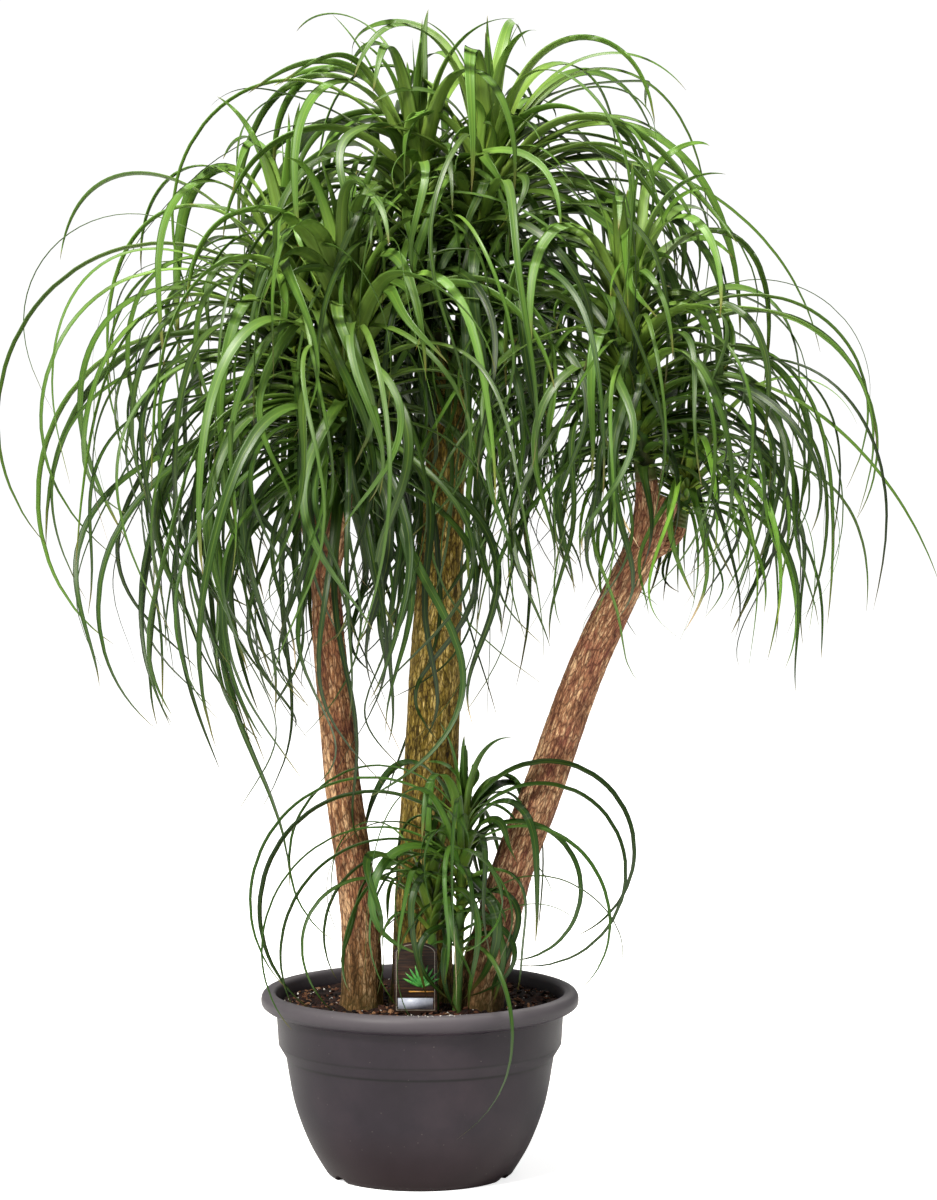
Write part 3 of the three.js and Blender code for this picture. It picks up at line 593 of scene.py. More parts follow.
def speckled_material(name, roughness, specular, sizes, stops, relief=None, shift=None):
    """Colours along a ramp, by the clouds. sizes are Fine and Broad, and relief is a bump's strength
    and depth. shift is an attribute that gives the place on the ramp, and how far the clouds then move it."""
    material, tree, shader = new_material(name, roughness, specular)
    marks = use_group(tree, SPECKLE, object_place(tree), Fine=sizes[0], Broad=sizes[1])
    spot = marks["Clouds"]
    if shift:
        label, weight = shift
        spot = maths(tree, "MULTIPLY_ADD", maths(tree, "SUBTRACT", spot, 0.5), weight,
                     third=attribute(tree, label))
    tree.links.new(ramp(tree, spot, stops), shader.inputs["Base Color"])
    if relief:
        bumped(tree, shader, marks["Pits"], *relief)
    return material


def soil_material():
    return speckled_material("potting_mix", 0.92, 0.25, (420.0, 60.0),
                             [(0.25, "#090505"), (0.45, "#1a0e0a"), (0.6, "#301a12"), (0.8, "#523022")],
                             (0.9, 0.002))


def chip_material(name, stops, roughness):
    return speckled_material(name, roughness, 0.3, (800.0, 90.0), stops, (0.8, 0.0008), ("tone", 0.8))


def cut_wood_material():
    return speckled_material("cut_wood", 0.8, 0.25, (700.0, 45.0),
                             [(0.3, "#8a6a4c"), (0.5, "#b39a78"), (0.7, "#d3c3a4")], (0.6, 0.0006))


def stem_material():
    """Bark brown at a crown's foot, and fresh green higher up."""
    return speckled_material("green_stem", 0.5, 0.4, (300.0, 50.0),
                             [(0.1, "#527c26"), (0.5, "#3c5c20"), (0.8, "#4a4020"), (1.0, "#3c2717")],
                             (0.5, 0.0008), ("age", 0.6))


def plain_print(name, first, second):
    return speckled_material(name, 0.35, 0.5, (500.0, 160.0), [(0.35, first), (0.65, second)])


def plastic_material():
    """Moulded plastic with faint clouds, earth-stained at the foot, with a painted highlight on the top of
    the rim and painted shade in the two lines of the step.
    """
    material, tree, shader = new_material("pot_plastic", 0.5, 0.2)
    place = object_place(tree)
    marks = use_group(tree, SPECKLE, place, Fine=1400.0, Broad=7.0)
    colour = ramp(tree, marks["Clouds"], [(0.3, "#171118"), (0.5, "#201a21"), (0.72, "#2d252b")])
    height = height_of(tree, place)
    foot = maths(tree, "MULTIPLY_ADD", height, -10.0, True, 0.95)
    colour = stained(tree, colour, foot, 0.6, "#2b1a19")
    # Painted highlight: the top of the rim is drawn paler, in place of light falling on it.
    rim_highlight = maths(tree, "MULTIPLY_ADD", height, 40.0, True, -9.3)
    colour = stained(tree, colour, rim_highlight, 0.75, "#625e62")
    # Painted shade: a dark line at the height of each line of the step, where shade falls in the crease.
    for line, depth in POT_SHADE_LINES:
        away = maths(tree, "ABSOLUTE", maths(tree, "SUBTRACT", height, line * MM))
        step_shade = maths(tree, "SUBTRACT", 1.0, maths(tree, "MULTIPLY", away, 360.0), True)
        colour = stained(tree, colour, step_shade, depth, "#080608")
    colour = stained(tree, colour, marks["Dust"], 0.35, "#8d8378")
    tree.links.new(colour, shader.inputs["Base Color"])
    rough = maths(tree, "MULTIPLY_ADD", marks["Clouds"], 0.22, third=0.36)
    tree.links.new(rough, shader.inputs["Roughness"])
    bumped(tree, shader, marks["Pits"], 0.25, 0.0003)
    return material


def mossed(tree, colour, cover):
    """The colour with moss over it, thicker towards the soil."""
    low = maths(tree, "ADD", maths(tree, "MULTIPLY", height_of(tree, object_place(tree)), -7.0), 2.55, True)
    moss = maths(tree, "MULTIPLY", maths(tree, "MULTIPLY", low, cover), 1.25, True)
    return blended(tree, moss, colour, linear("#45431a"))


def bark_material(name, groove, middle, ridge, flush):
    """Corky plates over dark cracks, with moss at the foot. flush is the colour of broad patches."""
    material, tree, shader = new_material(name, 0.85, 0.2)
    straight = attribute(tree, "straight", "Vector")
    broad = use_group(tree, GRAIN, straight, Across=85.0, Along=7.0, Patch=11.0)
    fine = use_group(tree, GRAIN, straight, Across=900.0, Along=110.0, Patch=30.0)
    plates = use_group(tree, CORK, straight, Across=210.0, Along=56.0)
    chips = use_group(tree, CORK, straight, Across=480.0, Along=150.0)
    tone = weighted(tree, [(broad["Streaks"], 0.85), (fine["Streaks"], 1.1), (plates["Tone"], 0.22),
                           (chips["Tone"], 0.16), (attribute(tree, "cork"), 0.5)], 0.5)
    colour = ramp(tree, tone, [(0.22, groove), (0.4, middle), (0.54, middle), (0.76, ridge)])
    patch = maths(tree, "MULTIPLY", maths(tree, "SUBTRACT", fine["Patches"], 0.4), 2.2, True)
    patch = maths(tree, "MULTIPLY", patch, maths(tree, "SUBTRACT", 1.1, tone, True))
    colour = blended(tree, patch, colour, linear(flush))
    crack = maths(tree, "MULTIPLY", maths(tree, "SUBTRACT", 1.0, plates["Plate"]), 0.9)
    hair = maths(tree, "MULTIPLY", maths(tree, "SUBTRACT", 1.0, chips["Plate"]), 0.5)
    colour = blended(tree, maths(tree, "MAXIMUM", crack, hair), colour, linear(groove))
    tree.links.new(mossed(tree, colour, fine["Patches"]), shader.inputs["Base Color"])
    relief = weighted(tree, [(fine["Streaks"], 0.6), (plates["Plate"], 0.8), (chips["Plate"], 0.35)], 0.5)
    bumped(tree, shader, relief, 0.6, 0.0014)
    return material


def leaf_ramps(tree, along, age, root, young, body, deep, tip):
    """Leaf colours from root to tip, which change from a young leaf's to an old one's by age."""
    fresh = ramp(tree, along, [(0.0, root), (0.16, young), (0.5, body), (0.92, body), (1.0, tip)])
    grown = ramp(tree, along, [(0.0, root), (0.06, body), (0.4, deep), (0.92, deep), (1.0, tip)])
    return blended(tree, maths(tree, "MULTIPLY", age, 1.5, True), fresh, grown)


def leaf_material(name, *colours):
    """Leaf colours with fine veins along the blade, a pale middle rib and, on some, a withered tip."""
    material, tree, shader = new_material(name, 0.4, 0.26)
    parts = add(tree, "ShaderNodeSeparateXYZ", {0: add(tree, "ShaderNodeUVMap", uv_map="blade").outputs[0]})
    across, along = parts.outputs[0], parts.outputs[1]
    tone, age, dry = [attribute(tree, label) for label in ("tone", "age", "dry")]
    colour = leaf_ramps(tree, along, age, *colours)
    shifted = add(tree, "ShaderNodeCombineXYZ",
                  {0: across, 1: maths(tree, "MULTIPLY", tone, 40.0), 2: maths(tree, "ADD", along, tone)})
    veins = use_group(tree, GRAIN, shifted.outputs[0], Across=15.0, Along=1.1, Patch=2.5)
    streaks, clouds = veins["Streaks"], veins["Patches"]
    shade = weighted(tree, [(streaks, 0.7), (clouds, 0.9), (tone, 0.9)], 1.0)
    grey = add(tree, "ShaderNodeCombineColor", {0: shade, 1: shade, 2: shade})
    colour = blended(tree, 1.0, colour, grey.outputs[0], "MULTIPLY")
    off_middle = maths(tree, "ABSOLUTE", maths(tree, "SUBTRACT", across, 0.5))
    rib = maths(tree, "SUBTRACT", 1.0, maths(tree, "MULTIPLY", off_middle, 14.0), True)
    colour = stained(tree, colour, rib, 0.22, colours[0])
    withered = maths(tree, "MULTIPLY", maths(tree, "SUBTRACT", along, 0.88), 12.0, True)
    colour = stained(tree, colour, withered, dry, "#ac9873")
    tree.links.new(colour, shader.inputs["Base Color"])
    tree.links.new(weighted(tree, [(streaks, 0.3), (clouds, 0.25)], 0.42), shader.inputs["Roughness"])
    bumped(tree, shader, weighted(tree, [(streaks, 1.0), (rib, -0.6)], 0.5), 0.3, 0.0004)
    return material


def plank_material():
    """Printed planks on the label: level boards with dark joints."""
    material, tree, shader = new_material("label_planks", 0.5, 0.25)
    place = object_place(tree)
    turned = add(tree, "ShaderNodeMapping", {"Vector": place})
    turned.inputs["Rotation"].default_value = (0, math.radians(90), 0)
    grain = use_group(tree, GRAIN, turned.outputs[0], Across=420.0, Along=24.0, Patch=40.0)
    colour = ramp(tree, grain["Streaks"], [(0.3, "#120b07"), (0.5, "#2a1910"), (0.68, "#48301f")])
    board = maths(tree, "FRACT", maths(tree, "MULTIPLY", height_of(tree, place), 74.0))
    joint = maths(tree, "LESS_THAN", board, 0.07)
    tree.links.new(blended(tree, joint, colour, linear("#0d0806")), shader.inputs["Base Color"])
    return material


# Pot
def pot_profile():
    """From the axis out along the underside, up the outside, over the rim and down the inside."""
    outside = [spline_point(BELLY, i / BELLY_RINGS) for i in range(BELLY_RINGS + 1)] + BAND
    rim = [spline_point(RIM, i / RIM_RINGS) for i in range(RIM_RINGS + 1)]
    inside = [(radius - POT_WALL, height) for radius, height in outside[FLOOR_RINGS:]]
    return UNDERSIDE + outside[1:] + rim + inside[::-1] + INNER_FLOOR


def notch_tool():
    """A round bar across the pot's bottom edge at each notch."""
    size = [NOTCH[side] * MM for side in ("height", "radius", "depth")]
    cutters = []
    for i in range(NOTCH["count"]):
        cutter = bmesh.new()
        bmesh.ops.create_cone(cutter, cap_ends=True, segments=32, radius1=1, radius2=1, depth=1)
        bmesh.ops.scale(cutter, verts=cutter.verts, vec=size)
        bmesh.ops.rotate(cutter, verts=cutter.verts, cent=(0, 0, 0),
                         matrix=Matrix.Rotation(math.radians(90), 3, "Y"))
        bmesh.ops.translate(cutter, verts=cutter.verts, vec=(BELLY[0][0] * MM, 0, 0))
        turn = Matrix.Rotation(math.radians(NOTCH["first"] + 360 / NOTCH["count"] * i), 4, "Z")
        bmesh.ops.transform(cutter, verts=cutter.verts, matrix=turn)
        cutters.append(cutter)
    return placed("notch_tool", as_mesh("notch_tool", joined(cutters)))


def pot_piece(material):
    pot = make_piece("pot_bowl", spun(pot_profile(), POT_STEPS), material, "pot", ["pot"])
    tool = notch_tool()
    cut = pot.modifiers.new("notches", "BOOLEAN")
    cut.operation = "DIFFERENCE"
    cut.object = tool
    apply_modifiers(pot)
    bpy.data.objects.remove(tool)
    crease(pot, POT_SHARP)


# Soil
def soil_height(x, y):
    """Height of the soil at x and y in metres: the solid's humps with crumbs on them."""
    humps = sum(h * math.sin(x / MM / a + c) * math.sin(y / MM / b + d) for h, a, b, c, d in SOIL_HUMPS)
    crumbs = sum(high * noise.noise(Vector((x, y, level)) * fine) for high, fine, level in CRUMBS)
    return (SOIL_TOP + humps + crumbs) * MM


def soil_piece(material):
    wall = [spline_point(BELLY, i / SOIL_WALL_RINGS) for i in range(1, SOIL_WALL_RINGS + 1)] + BAND
    side = [(radius - POT_WALL - SEAT_GAP, height) for radius, height in wall]
    top = [(SOIL_RADIUS * (1 - i / SOIL_RINGS), SOIL_TOP) for i in range(SOIL_RINGS + 1)]
    shape = spun(SOIL_FOOT + side + top, SOIL_STEPS)
    for vert in shape.verts:
        edge = (vert.co.x ** 2 + vert.co.y ** 2) ** 0.5
        if vert.co.z > (SOIL_TOP - 1) * MM and edge < (SOIL_RADIUS - 1) * MM:
            vert.co.z = soil_height(vert.co.x, vert.co.y)
    make_piece("soil_bed", shape, material, "soil", ["soil"])


def on_soil(draw):
    """A spot on the soil, away from its edge, that no trunk stands on."""
    reach = (SOIL_RADIUS - 6) * MM
    while True:
        bearing, radius = draw.uniform(0, math.tau), reach * math.sqrt(draw.random())
        x, y = radius * math.cos(bearing), radius * math.sin(bearing)
        feet = [rows[0] for rows in TRUNKS.values()]
        if all(math.hypot(x - fx * MM, y - fy * MM) > (width / 2 + 1) * MM for fx, fy, _, width in feet):
            return x, y


def on_rim(draw):
    """A spot on the front of the pot's rim."""
    bearing, radius = math.radians(draw.gauss(*RIM_FRONT)), draw.uniform(*RIM_FLAT)
    return radius * math.cos(bearing), radius * math.sin(bearing)


def ground_height(x, y):
    return soil_height(x, y) if math.hypot(x, y) < SOIL_RADIUS * MM else RIM_TOP * MM


def lump_template():
    lump = bmesh.new()
    lump.verts.layers.float.new("tone")
    bmesh.ops.create_icosphere(lump, subdivisions=1, radius=1)
    return as_mesh("lump", lump)


def scattered(name, material, count, sizes, flatness, seed, spot=on_soil):
    """Small lumps that lie on the soil or the rim, each with its own tone."""
    draw = random.Random(seed)
    template = lump_template()
    shape = bmesh.new()
    for _ in range(count):
        x, y = spot(draw)
        size = Vector((draw.uniform(*sizes), draw.uniform(*sizes), draw.uniform(*sizes) * flatness)) * MM
        turn = Matrix.Rotation(draw.uniform(0, math.tau), 3, "Z")
        for axis in "XY":
            turn = turn @ Matrix.Rotation(draw.uniform(-LUMP["tilt"], LUMP["tilt"]), 3, axis)
        place = Vector((x, y, ground_height(x, y) + size.z * LUMP["sink"]))
        shape.from_mesh(template)
        shape.verts.ensure_lookup_table()
        tone = shape.verts.layers.float["tone"]
        value = draw.random()
        for vert in shape.verts[-len(template.vertices):]:
            rough = 1 + LUMP["rough"] * draw.uniform(-1, 1)
            vert.co = place + turn @ Vector(a * b * rough for a, b in zip(vert.co, size))
            vert[tone] = value
    bpy.data.meshes.remove(template)
    crease(make_piece(name, shape, material, "soil"), SHARP)


# Trunks
def cork_at(straight):
    """Height of the cork in metres, and how far it is from crack (0) to ridge (1)."""
    x, y, z = straight
    broad, strip, flake = [noise.noise(Vector((x * across + dx, y * across + dy, z * along)))
                           for across, along, dx, dy in CORK_NOISE]
    ridge = 1 - min(abs(strip) * CORK_RELIEF["narrow"], 1)
    level = 0.5 * (0.5 + CORK_RELIEF["broad"] * broad) + 0.5 * (1 - ridge) + CORK_RELIEF["flake"] * flake
    lift = CORK_RELIEF["lift"] * (level - CORK_RELIEF["middle"]) + CORK_RELIEF["flake_lift"] * flake
    return lift * MM, min(max(level, 0), 1)


def bark_radius(angle, height, plain, fade, lift):
    """Radius at an angle round the trunk and a height in mm, with its ridges, cracks and cork."""
    drift = BARK["drift"] * math.sin(height / BARK["climb"])
    ridge = BARK["ridge"] * math.sin(BARK["ridges"] * angle + drift)
    crack = BARK["crack"] * math.sin(BARK["cracks"] * angle - height / BARK["crack_climb"])
    return plain * (1 + fade * (ridge + crack)) + max(fade, CORK_RELIEF["least"]) * lift


def barked_tube(line, relief_at, sides, rings):
    """A tube round a line. Its straight layer is where a point lies on the bark, laid out straight."""
    shape = round_bar(sides, rings)
    straight_layer = shape.verts.layers.float_vector.new("straight")
    cork_layer = shape.verts.layers.float.new("cork")
    hoops = {}
    for vert in shape.verts:
        share = min(max(vert.co.z, 0), 1)
        key = round(share * rings)
        if key not in hoops:
            ahead = line.ahead(share)
            across = (Vector((1, 0, 0)) - ahead * ahead.x).normalized()
            hoops[key] = line.point(share), across, across.cross(ahead), line.width(share) / 2, \
                line.length(share)
        centre, across, under, plain, along = hoops[key]
        angle = math.atan2(vert.co.x, -vert.co.y)
        straight = Vector((plain * math.sin(angle), -plain * math.cos(angle), along))
        lift, level = cork_at(straight)
        on_axis = math.hypot(vert.co.x, vert.co.y) < 0.5
        radius = 0 if on_axis else bark_radius(angle, centre.z / MM, plain, relief_at(share), lift)
        vert.co = centre + across * radius * math.sin(angle) + under * radius * math.cos(angle)
        vert[straight_layer] = straight
        vert[cork_layer] = level
    return shape


class Bough:
    """The middle line of a branch, bent from its fork to the foot of a crown's stem."""

    def __init__(self, crown):
        self.start, self.foot, tip = [metres(crown[name]) for name in ("fork", "foot", "tip")]
        self.lead = self.foot - (tip - self.foot).normalized() * (self.foot - self.start).length / 3
        self.girth = crown["girth"]

    def point(self, share):
        return self.start * (1 - share) ** 2 + self.lead * 2 * share * (1 - share) + self.foot * share ** 2

    def ahead(self, share):
        return ((self.lead - self.start) * (1 - share) + (self.foot - self.lead) * share).normalized()

    def width(self, share):
        return lerp(self.girth * BRANCH["swell"], self.girth, share) * MM

    def length(self, share):
        return BRANCH_PATTERN + share * (self.foot - self.start).length


def trunk_relief(share):
    return smooth(share, *BARK_FADE["foot"]) * (1 - smooth(share, *BARK_FADE["top"]))


def branch_relief(share):
    return BRANCH["relief"] * (1 - share)


def trunk_piece(name, material, slot, sides):
    shapes = [barked_tube(Spine(TRUNKS[name]), trunk_relief, sides, TRUNK_RINGS)]
    for crown in CROWNS:
        if crown["trunk"] == name:
            shapes.append(barked_tube(Bough(crown), branch_relief, BRANCH["sides"], BRANCH["rings"]))
    make_piece(name + "_bark", joined(shapes), material, slot, [name])


def stump_piece(material):
    """The pale face where the right trunk was cut."""
    spine = Spine(TRUNKS["trunk_right"])
    top, ahead = spine.point(1), spine.ahead(1)
    shape = bmesh.new()
    turn = ahead.to_track_quat("Z", "Y").to_matrix().to_4x4()
    bmesh.ops.create_cone(shape, cap_ends=True, segments=STUMP["sides"], radius1=STUMP["foot"] * MM,
                          radius2=STUMP["top"] * MM, depth=STUMP["thick"] * MM,
                          matrix=Matrix.Translation(top + ahead * STUMP["proud"] * MM) @ turn)
    crease(make_piece("stump_face", shape, material, "bark_right"), SHARP)


# Leaves
class Draws:
    """Random draws from -1 to 1 that repeat exactly from a seed."""

    FACTOR = 16807
    LIMIT = 2 ** 31 - 1

    def __init__(self, seed):
        self.state = seed

    def next(self):
        self.state = self.state * self.FACTOR % self.LIMIT
        return 2 * self.state / self.LIMIT - 1


def within(draw, ranges):
    """A value for each name, drawn in order from its range."""
    return {name: draw.uniform(*pair) for name, pair in ranges.items()}


def grown_leaf(crown, index, count, draws):
    """A leaf of a crown, from the youngest at the tip (age 0) to the oldest at the bottom (age 1)."""
    age = (index + 0.5) / count
    by = {name: most * draws.next() for name, most in SCATTER.items()}
    old = crown["old"]
    grown = smooth(age, 0, FULL["bend_age"])
    stretch = THIN["stretch"] if by["length"] > SCATTER["length"] * (1 - 2 * THIN["chance"]) else 1.0
    azimuth = crown["turn"] + GOLDEN_ANGLE * index + by["azimuth"]
    open_side, gain = crown["open"]
    lit = 1 + gain * math.cos(math.radians(azimuth - open_side))
    size = lerp(YOUNG["size"], 1, smooth(age, 0, FULL["size_age"]))
    size -= (1 - old["size"]) * smooth(age, FULL["ageing"], 1)
    return {
        "azimuth": azimuth,
        "rise": lerp(YOUNG["rise"], old["rise"], age ** CROWDING) + by["rise"],
        "length": crown["longest"] * min(size * lit * (1 + by["length"]) * stretch, LONGEST_SHARE),
        "bend": lerp(YOUNG["bend"], old["bend"], grown) * (1 + by["bend"]) / stretch,
        "curl": lerp(YOUNG["curl"], old["curl"], grown) + by["curl"],
        "sway": by["sway"], "twist": by["twist"], "wave": abs(by["wave"]), "phase": by["phase"],
        "width": crown["width"] * lerp(1, OLD_WIDTH, age) / stretch,
        "height": lerp(1, crown["bare"], age ** CROWDING),
        "age": age, "kind": "grown", "dry": 0.0,
    }


def long_leaf(crown, values):
    names = ("azimuth", "rise", "length", "bend", "curl", "width", "height")
    leaf = {**dict(zip(names, values)), **LONG_LEAF, "kind": "long"}
    leaf["age"] = LONG_AGE["crown" if crown["trunk"] else "shoot"]
    leaf["dry"] = 1.0 if (crown["name"], leaf["azimuth"]) == DRY_TIPPED else 0.0
    return leaf


def leaf_line(crown, leaf, turn, size):
    """Points of a leaf's middle line, with the directions ahead of it and across it."""
    point = metres(crown["foot"]).lerp(metres(crown["tip"]), leaf["height"])
    slope, bearing = math.radians(leaf["rise"]), math.radians(leaf["azimuth"] + turn)
    phase = math.radians(leaf["phase"])
    bend, later, stiff_share = STIFF_ROOT[leaf["kind"]]
    line = []
    for k in range(LEAF_STEPS + 1):
        share = k / LEAF_STEPS
        level = math.cos(slope)
        ahead = Vector((level * math.cos(bearing), level * math.sin(bearing), math.sin(slope)))
        across = Vector((-math.sin(bearing), math.cos(bearing), 0))
        above = ahead.cross(across)
        wave = leaf["wave"] * share
        ahead += across * wave * math.sin(phase + WAVE["across"] * share)
        ahead += above * WAVE["depth"] * wave * math.cos(WAVE["turn"] * phase + WAVE["above"] * share)
        ahead.normalize()
        twist = math.radians(leaf["twist"]) * share
        across = across * math.cos(twist) + above * math.sin(twist)
        across = (across - ahead * across.dot(ahead)).normalized()
        line.append((point.copy(), ahead, across))
        give = bend + later * smooth(share, 0, stiff_share)
        slope -= (leaf["bend"] * give * level + math.radians(leaf["curl"])) / LEAF_STEPS
        bearing += math.radians(leaf["sway"]) * 2 * share / LEAF_STEPS
        point += ahead * leaf["length"] * MM * size / LEAF_STEPS
    return line


def leaf_width(share):
    return lerp(LEAF_ROOT["width"], 1, smooth(share, 0, LEAF_ROOT["share"])) * (1 - share) ** LEAF_TAPER


def ring_steps(line, rings):
    """Steps of the line where it has turned and grown by equal shares."""
    load = [0.0]
    for (_, before, _), (_, after, _) in zip(line, line[1:]):
        load.append(load[-1] + before.angle(after) + 1 / LEAF_STEPS)
    steps = []
    for ring in range(rings + 1):
        wanted = load[-1] * ring / rings
        steps.append(next(k for k, value in enumerate(load) if value >= wanted - 1e-9))
    return steps


def tree_of(node):
    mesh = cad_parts[node].data
    return BVHTree.FromPolygons([v.co.copy() for v in mesh.vertices],
                                [tuple(p.vertices) for p in mesh.polygons])


def lines_tried(crown, leaf):
    """A leaf's line at each length and turn that it may have."""
    for size in LENGTHS_TRIED:
        for turn in TURNS_TRIED:
            yield leaf_line(crown, leaf, turn, size)


def as_in_solid(crown, leaf, tree):
    """The line that this leaf has in the solid, found by where its rings lie."""
    best = None
    for line in lines_tried(crown, leaf):
        steps = ring_steps(line, SOLID_RINGS[leaf["kind"]])[1:]
        miss = sum(tree.find_nearest(line[k][0])[3] for k in steps) / len(steps)
        if best is None or miss < best[0]:
            best = miss, line
    return best[1] if best[0] < SAME_LEAF else None


def inside_box(point):
    low, high = solid_box
    return all(a - BOX_ROOM < p < b + BOX_ROOM for a, p, b in zip(low, point, high))


def clear_line(crown, leaf, standing):
    """A line for a leaf that crosses no trunk, pot, soil or label and stays within the plant."""
    room = leaf["width"] * MM / 2 + LEAF_ROOM
    for line in lines_tried(crown, leaf):
        if all(inside_box(p) for p, _, _ in line[::4]) and not any(
                tree.find_nearest(p, room)[0] for p, _, _ in line[3:] for tree in standing):
            return line
    return None


def blade_template():
    shape = round_bar(BLADE["sides"], BLADE["rings"])
    for name in ("tone", "age", "dry"):
        shape.verts.layers.float.new(name)
    uv = shape.loops.layers.uv.new("blade")
    for face in shape.faces:
        for loop in face.loops:
            loop[uv].uv = (0.5 + loop.vert.co.x / 2, loop.vert.co.z)
    return as_mesh("blade", shape)


def add_blade(shape, template, leaf, line, tone):
    """A strap with a gutter on top and a rounded underside."""
    shape.from_mesh(template)
    shape.verts.ensure_lookup_table()
    layers = shape.verts.layers.float
    steps = ring_steps(line, BLADE["rings"])
    for vert in shape.verts[-len(template.vertices):]:
        side, height = vert.co.x, vert.co.y
        step = steps[round(vert.co.z * BLADE["rings"])]
        point, ahead, across = line[step]
        share = step / LEAF_STEPS
        wide = max(leaf["width"] * leaf_width(share), BLADE["narrowest"]) * MM
        middle = 1 - side * side
        gutter = lerp(*BLADE["gutter"], smooth(share, 0, BLADE["flat_from"])) * wide * middle
        thick = min(THICKEST, BLADE["thick"] * wide) * middle ** 0.5 if height < 0 else 0
        vert.co = point + across * side * wide / 2 + across.cross(ahead) * (gutter + thick)
        vert[layers["tone"]] = tone
        vert[layers["age"]] = leaf["age"]
        vert[layers["dry"]] = leaf["dry"]


def filling_leaves(crown, draw):
    """Leaves among the first ones, of more mixed widths. At the front of the centre trunk they are short."""
    draws = Draws(crown["seed"] + FILLER["seed"])
    leaves = [grown_leaf(crown, i, crown["filler"], draws) for i in range(crown["filler"])]
    for leaf in leaves:
        age = leaf["age"]
        leaf["azimuth"] += FILLER["turn"]
        leaf["sway"] *= FILLER["sway"]
        leaf["wave"] *= FILLER["wave"]
        leaf["bend"] *= lerp(*FILLER["bend"], age)
        leaf["curl"] += FILLER["curl"] * age
        leaf["length"] = min(leaf["length"], crown["longest"]) * draw.uniform(*FILLER["length"])
        leaf["width"] *= draw.uniform(lerp(*FILLER["thinnest"], age), FILLER["widest"])
        if not crown["trunk"]:
            leaf["width"] *= FILLER["shoot_width"]
        if crown["trunk"] == "trunk_centre":
            in_front = max(-math.sin(math.radians(leaf["azimuth"])), 0) ** 2
            leaf["length"] *= 1 - FILLER["front_cut"] * in_front * smooth(age, *FILLER["front_age"])
        may_dry = crown["trunk"] and age > FILLER["dry_age"]
        leaf["dry"] = 1.0 if may_dry and draw.random() < FILLER["dry_chance"] else 0.0
    return leaves


def heart_leaves(crown, draw):
    """Broad young leaves that stand close together at the tip."""
    leaves = []
    for i in range(crown["hearts"]):
        leaf = {name: lerp(*pair, i / crown["hearts"]) for name, pair in HEART.items()}
        leaf.update(within(draw, HEART_DRAWN), wave=0.1, phase=90, kind="grown", dry=0.0)
        leaf["azimuth"] = crown["turn"] + HEART_TURN + GOLDEN_ANGLE * i
        leaf["length"] = leaf["length"] * crown["longest"] / HEART_LONGEST
        leaf["width"] *= crown["width"]
        leaves.append(leaf)
    return leaves


def wisp_leaves(crown, draw):
    """Long thin leaves that reach past the others in wide curls."""
    leaves = []
    for i in range(crown["wisps"]):
        leaf = within(draw, WISP)
        leaf["length"] *= crown["longest"]
        leaf.update(azimuth=GOLDEN_ANGLE * i + WISP_TURN, age=0.35, kind="grown", dry=0.0)
        leaves.append(leaf)
    return leaves


def drift_leaves(crown, draw):
    """Leaves that sweep the same way, so that the crown is fuller there."""
    leaves = []
    for name, count, *ranges in DRIFTS:
        for _ in range(count if name == crown["name"] else 0):
            names = ("azimuth", "rise", "length", "bend", "curl", "width")
            leaf = within(draw, dict(zip(names, ranges)))
            leaf.update(within(draw, DRIFT))
            up = smooth(leaf["rise"], *DRIFT_RISE)
            leaf.update(height=up, age=1 - up, kind="grown", dry=0.0)
            leaves.append(leaf)
    return leaves


def crown_piece(crown, template, standing, material, slot):
    draws = Draws(crown["seed"])
    draw = random.Random(crown["seed"])
    tree = tree_of(crown["name"])
    shape = bmesh.new()
    first = [long_leaf(crown, values) for values in crown["long"]]
    first += [grown_leaf(crown, i, crown["leaves"], draws) for i in range(crown["leaves"])]
    for leaf in first:
        line = as_in_solid(crown, leaf, tree)
        if line:
            add_blade(shape, template, leaf, line, draw.random())
    more = filling_leaves(crown, draw) + heart_leaves(crown, draw) + wisp_leaves(crown, draw)
    for leaf in more + drift_leaves(crown, draw):
        line = clear_line(crown, leaf, standing)
        if line:
            add_blade(shape, template, leaf, line, draw.random())
    bmesh.ops.recalc_face_normals(shape, faces=shape.faces)
    make_piece(crown["name"] + "_leaves", shape, material, slot, [crown["name"]])


def stem_piece(crown, material, slot):
    """The stem that the leaves stand on, with low ridges where old leaves were."""
    foot, tip = metres(crown["foot"]), metres(crown["tip"])
    ahead = (tip - foot).normalized()
    across = (Vector((1, 0, 0)) - ahead * ahead.x).normalized()
    under = across.cross(ahead)
    shape = round_bar(STEM["sides"], STEM["rings"])
    age = shape.verts.layers.float.new("age")
    for vert in shape.verts:
        share, angle = vert.co.z, math.atan2(vert.co.x, -vert.co.y)
        on_axis = math.hypot(*vert.co.xy) <= 0.5
        radius = 0 if on_axis else lerp(crown["girth"], STEM["tip"], share) / 2 * MM
        radius *= 1 + STEM["ridge"] * math.sin(angle + share * STEM["climb"])
        vert.co = foot.lerp(tip, share) + across * radius * math.sin(angle) + under * radius * math.cos(angle)
        vert[age] = (1 - share) * STEM_AGE.get(crown["name"], STEM_AGE_USUAL)
    make_piece(crown["name"] + "_stem", shape, material, slot)


# Label
def flat_shape(outline, proud, depth):
    """A plate from an outline of x and z in mm from the label's foot, standing proud of its front."""
    shape = bmesh.new()
    front = TAG["front"] - proud
    face = shape.faces.new([shape.verts.new(((TAG["x"] + x) * MM, front * MM, (TAG["z"] + z) * MM))
                            for x, z in outline])
    bmesh.ops.recalc_face_normals(shape, faces=[face])
    if face.normal.y > 0:
        bmesh.ops.reverse_faces(shape, faces=[face])
    grown = bmesh.ops.extrude_face_region(shape, geom=[face], use_keep_orig=True)
    moved = [item for item in grown["geom"] if isinstance(item, bmesh.types.BMVert)]
    bmesh.ops.translate(shape, verts=moved, vec=(0, depth * MM, 0))
    bmesh.ops.recalc_face_normals(shape, faces=shape.faces)
    return shape


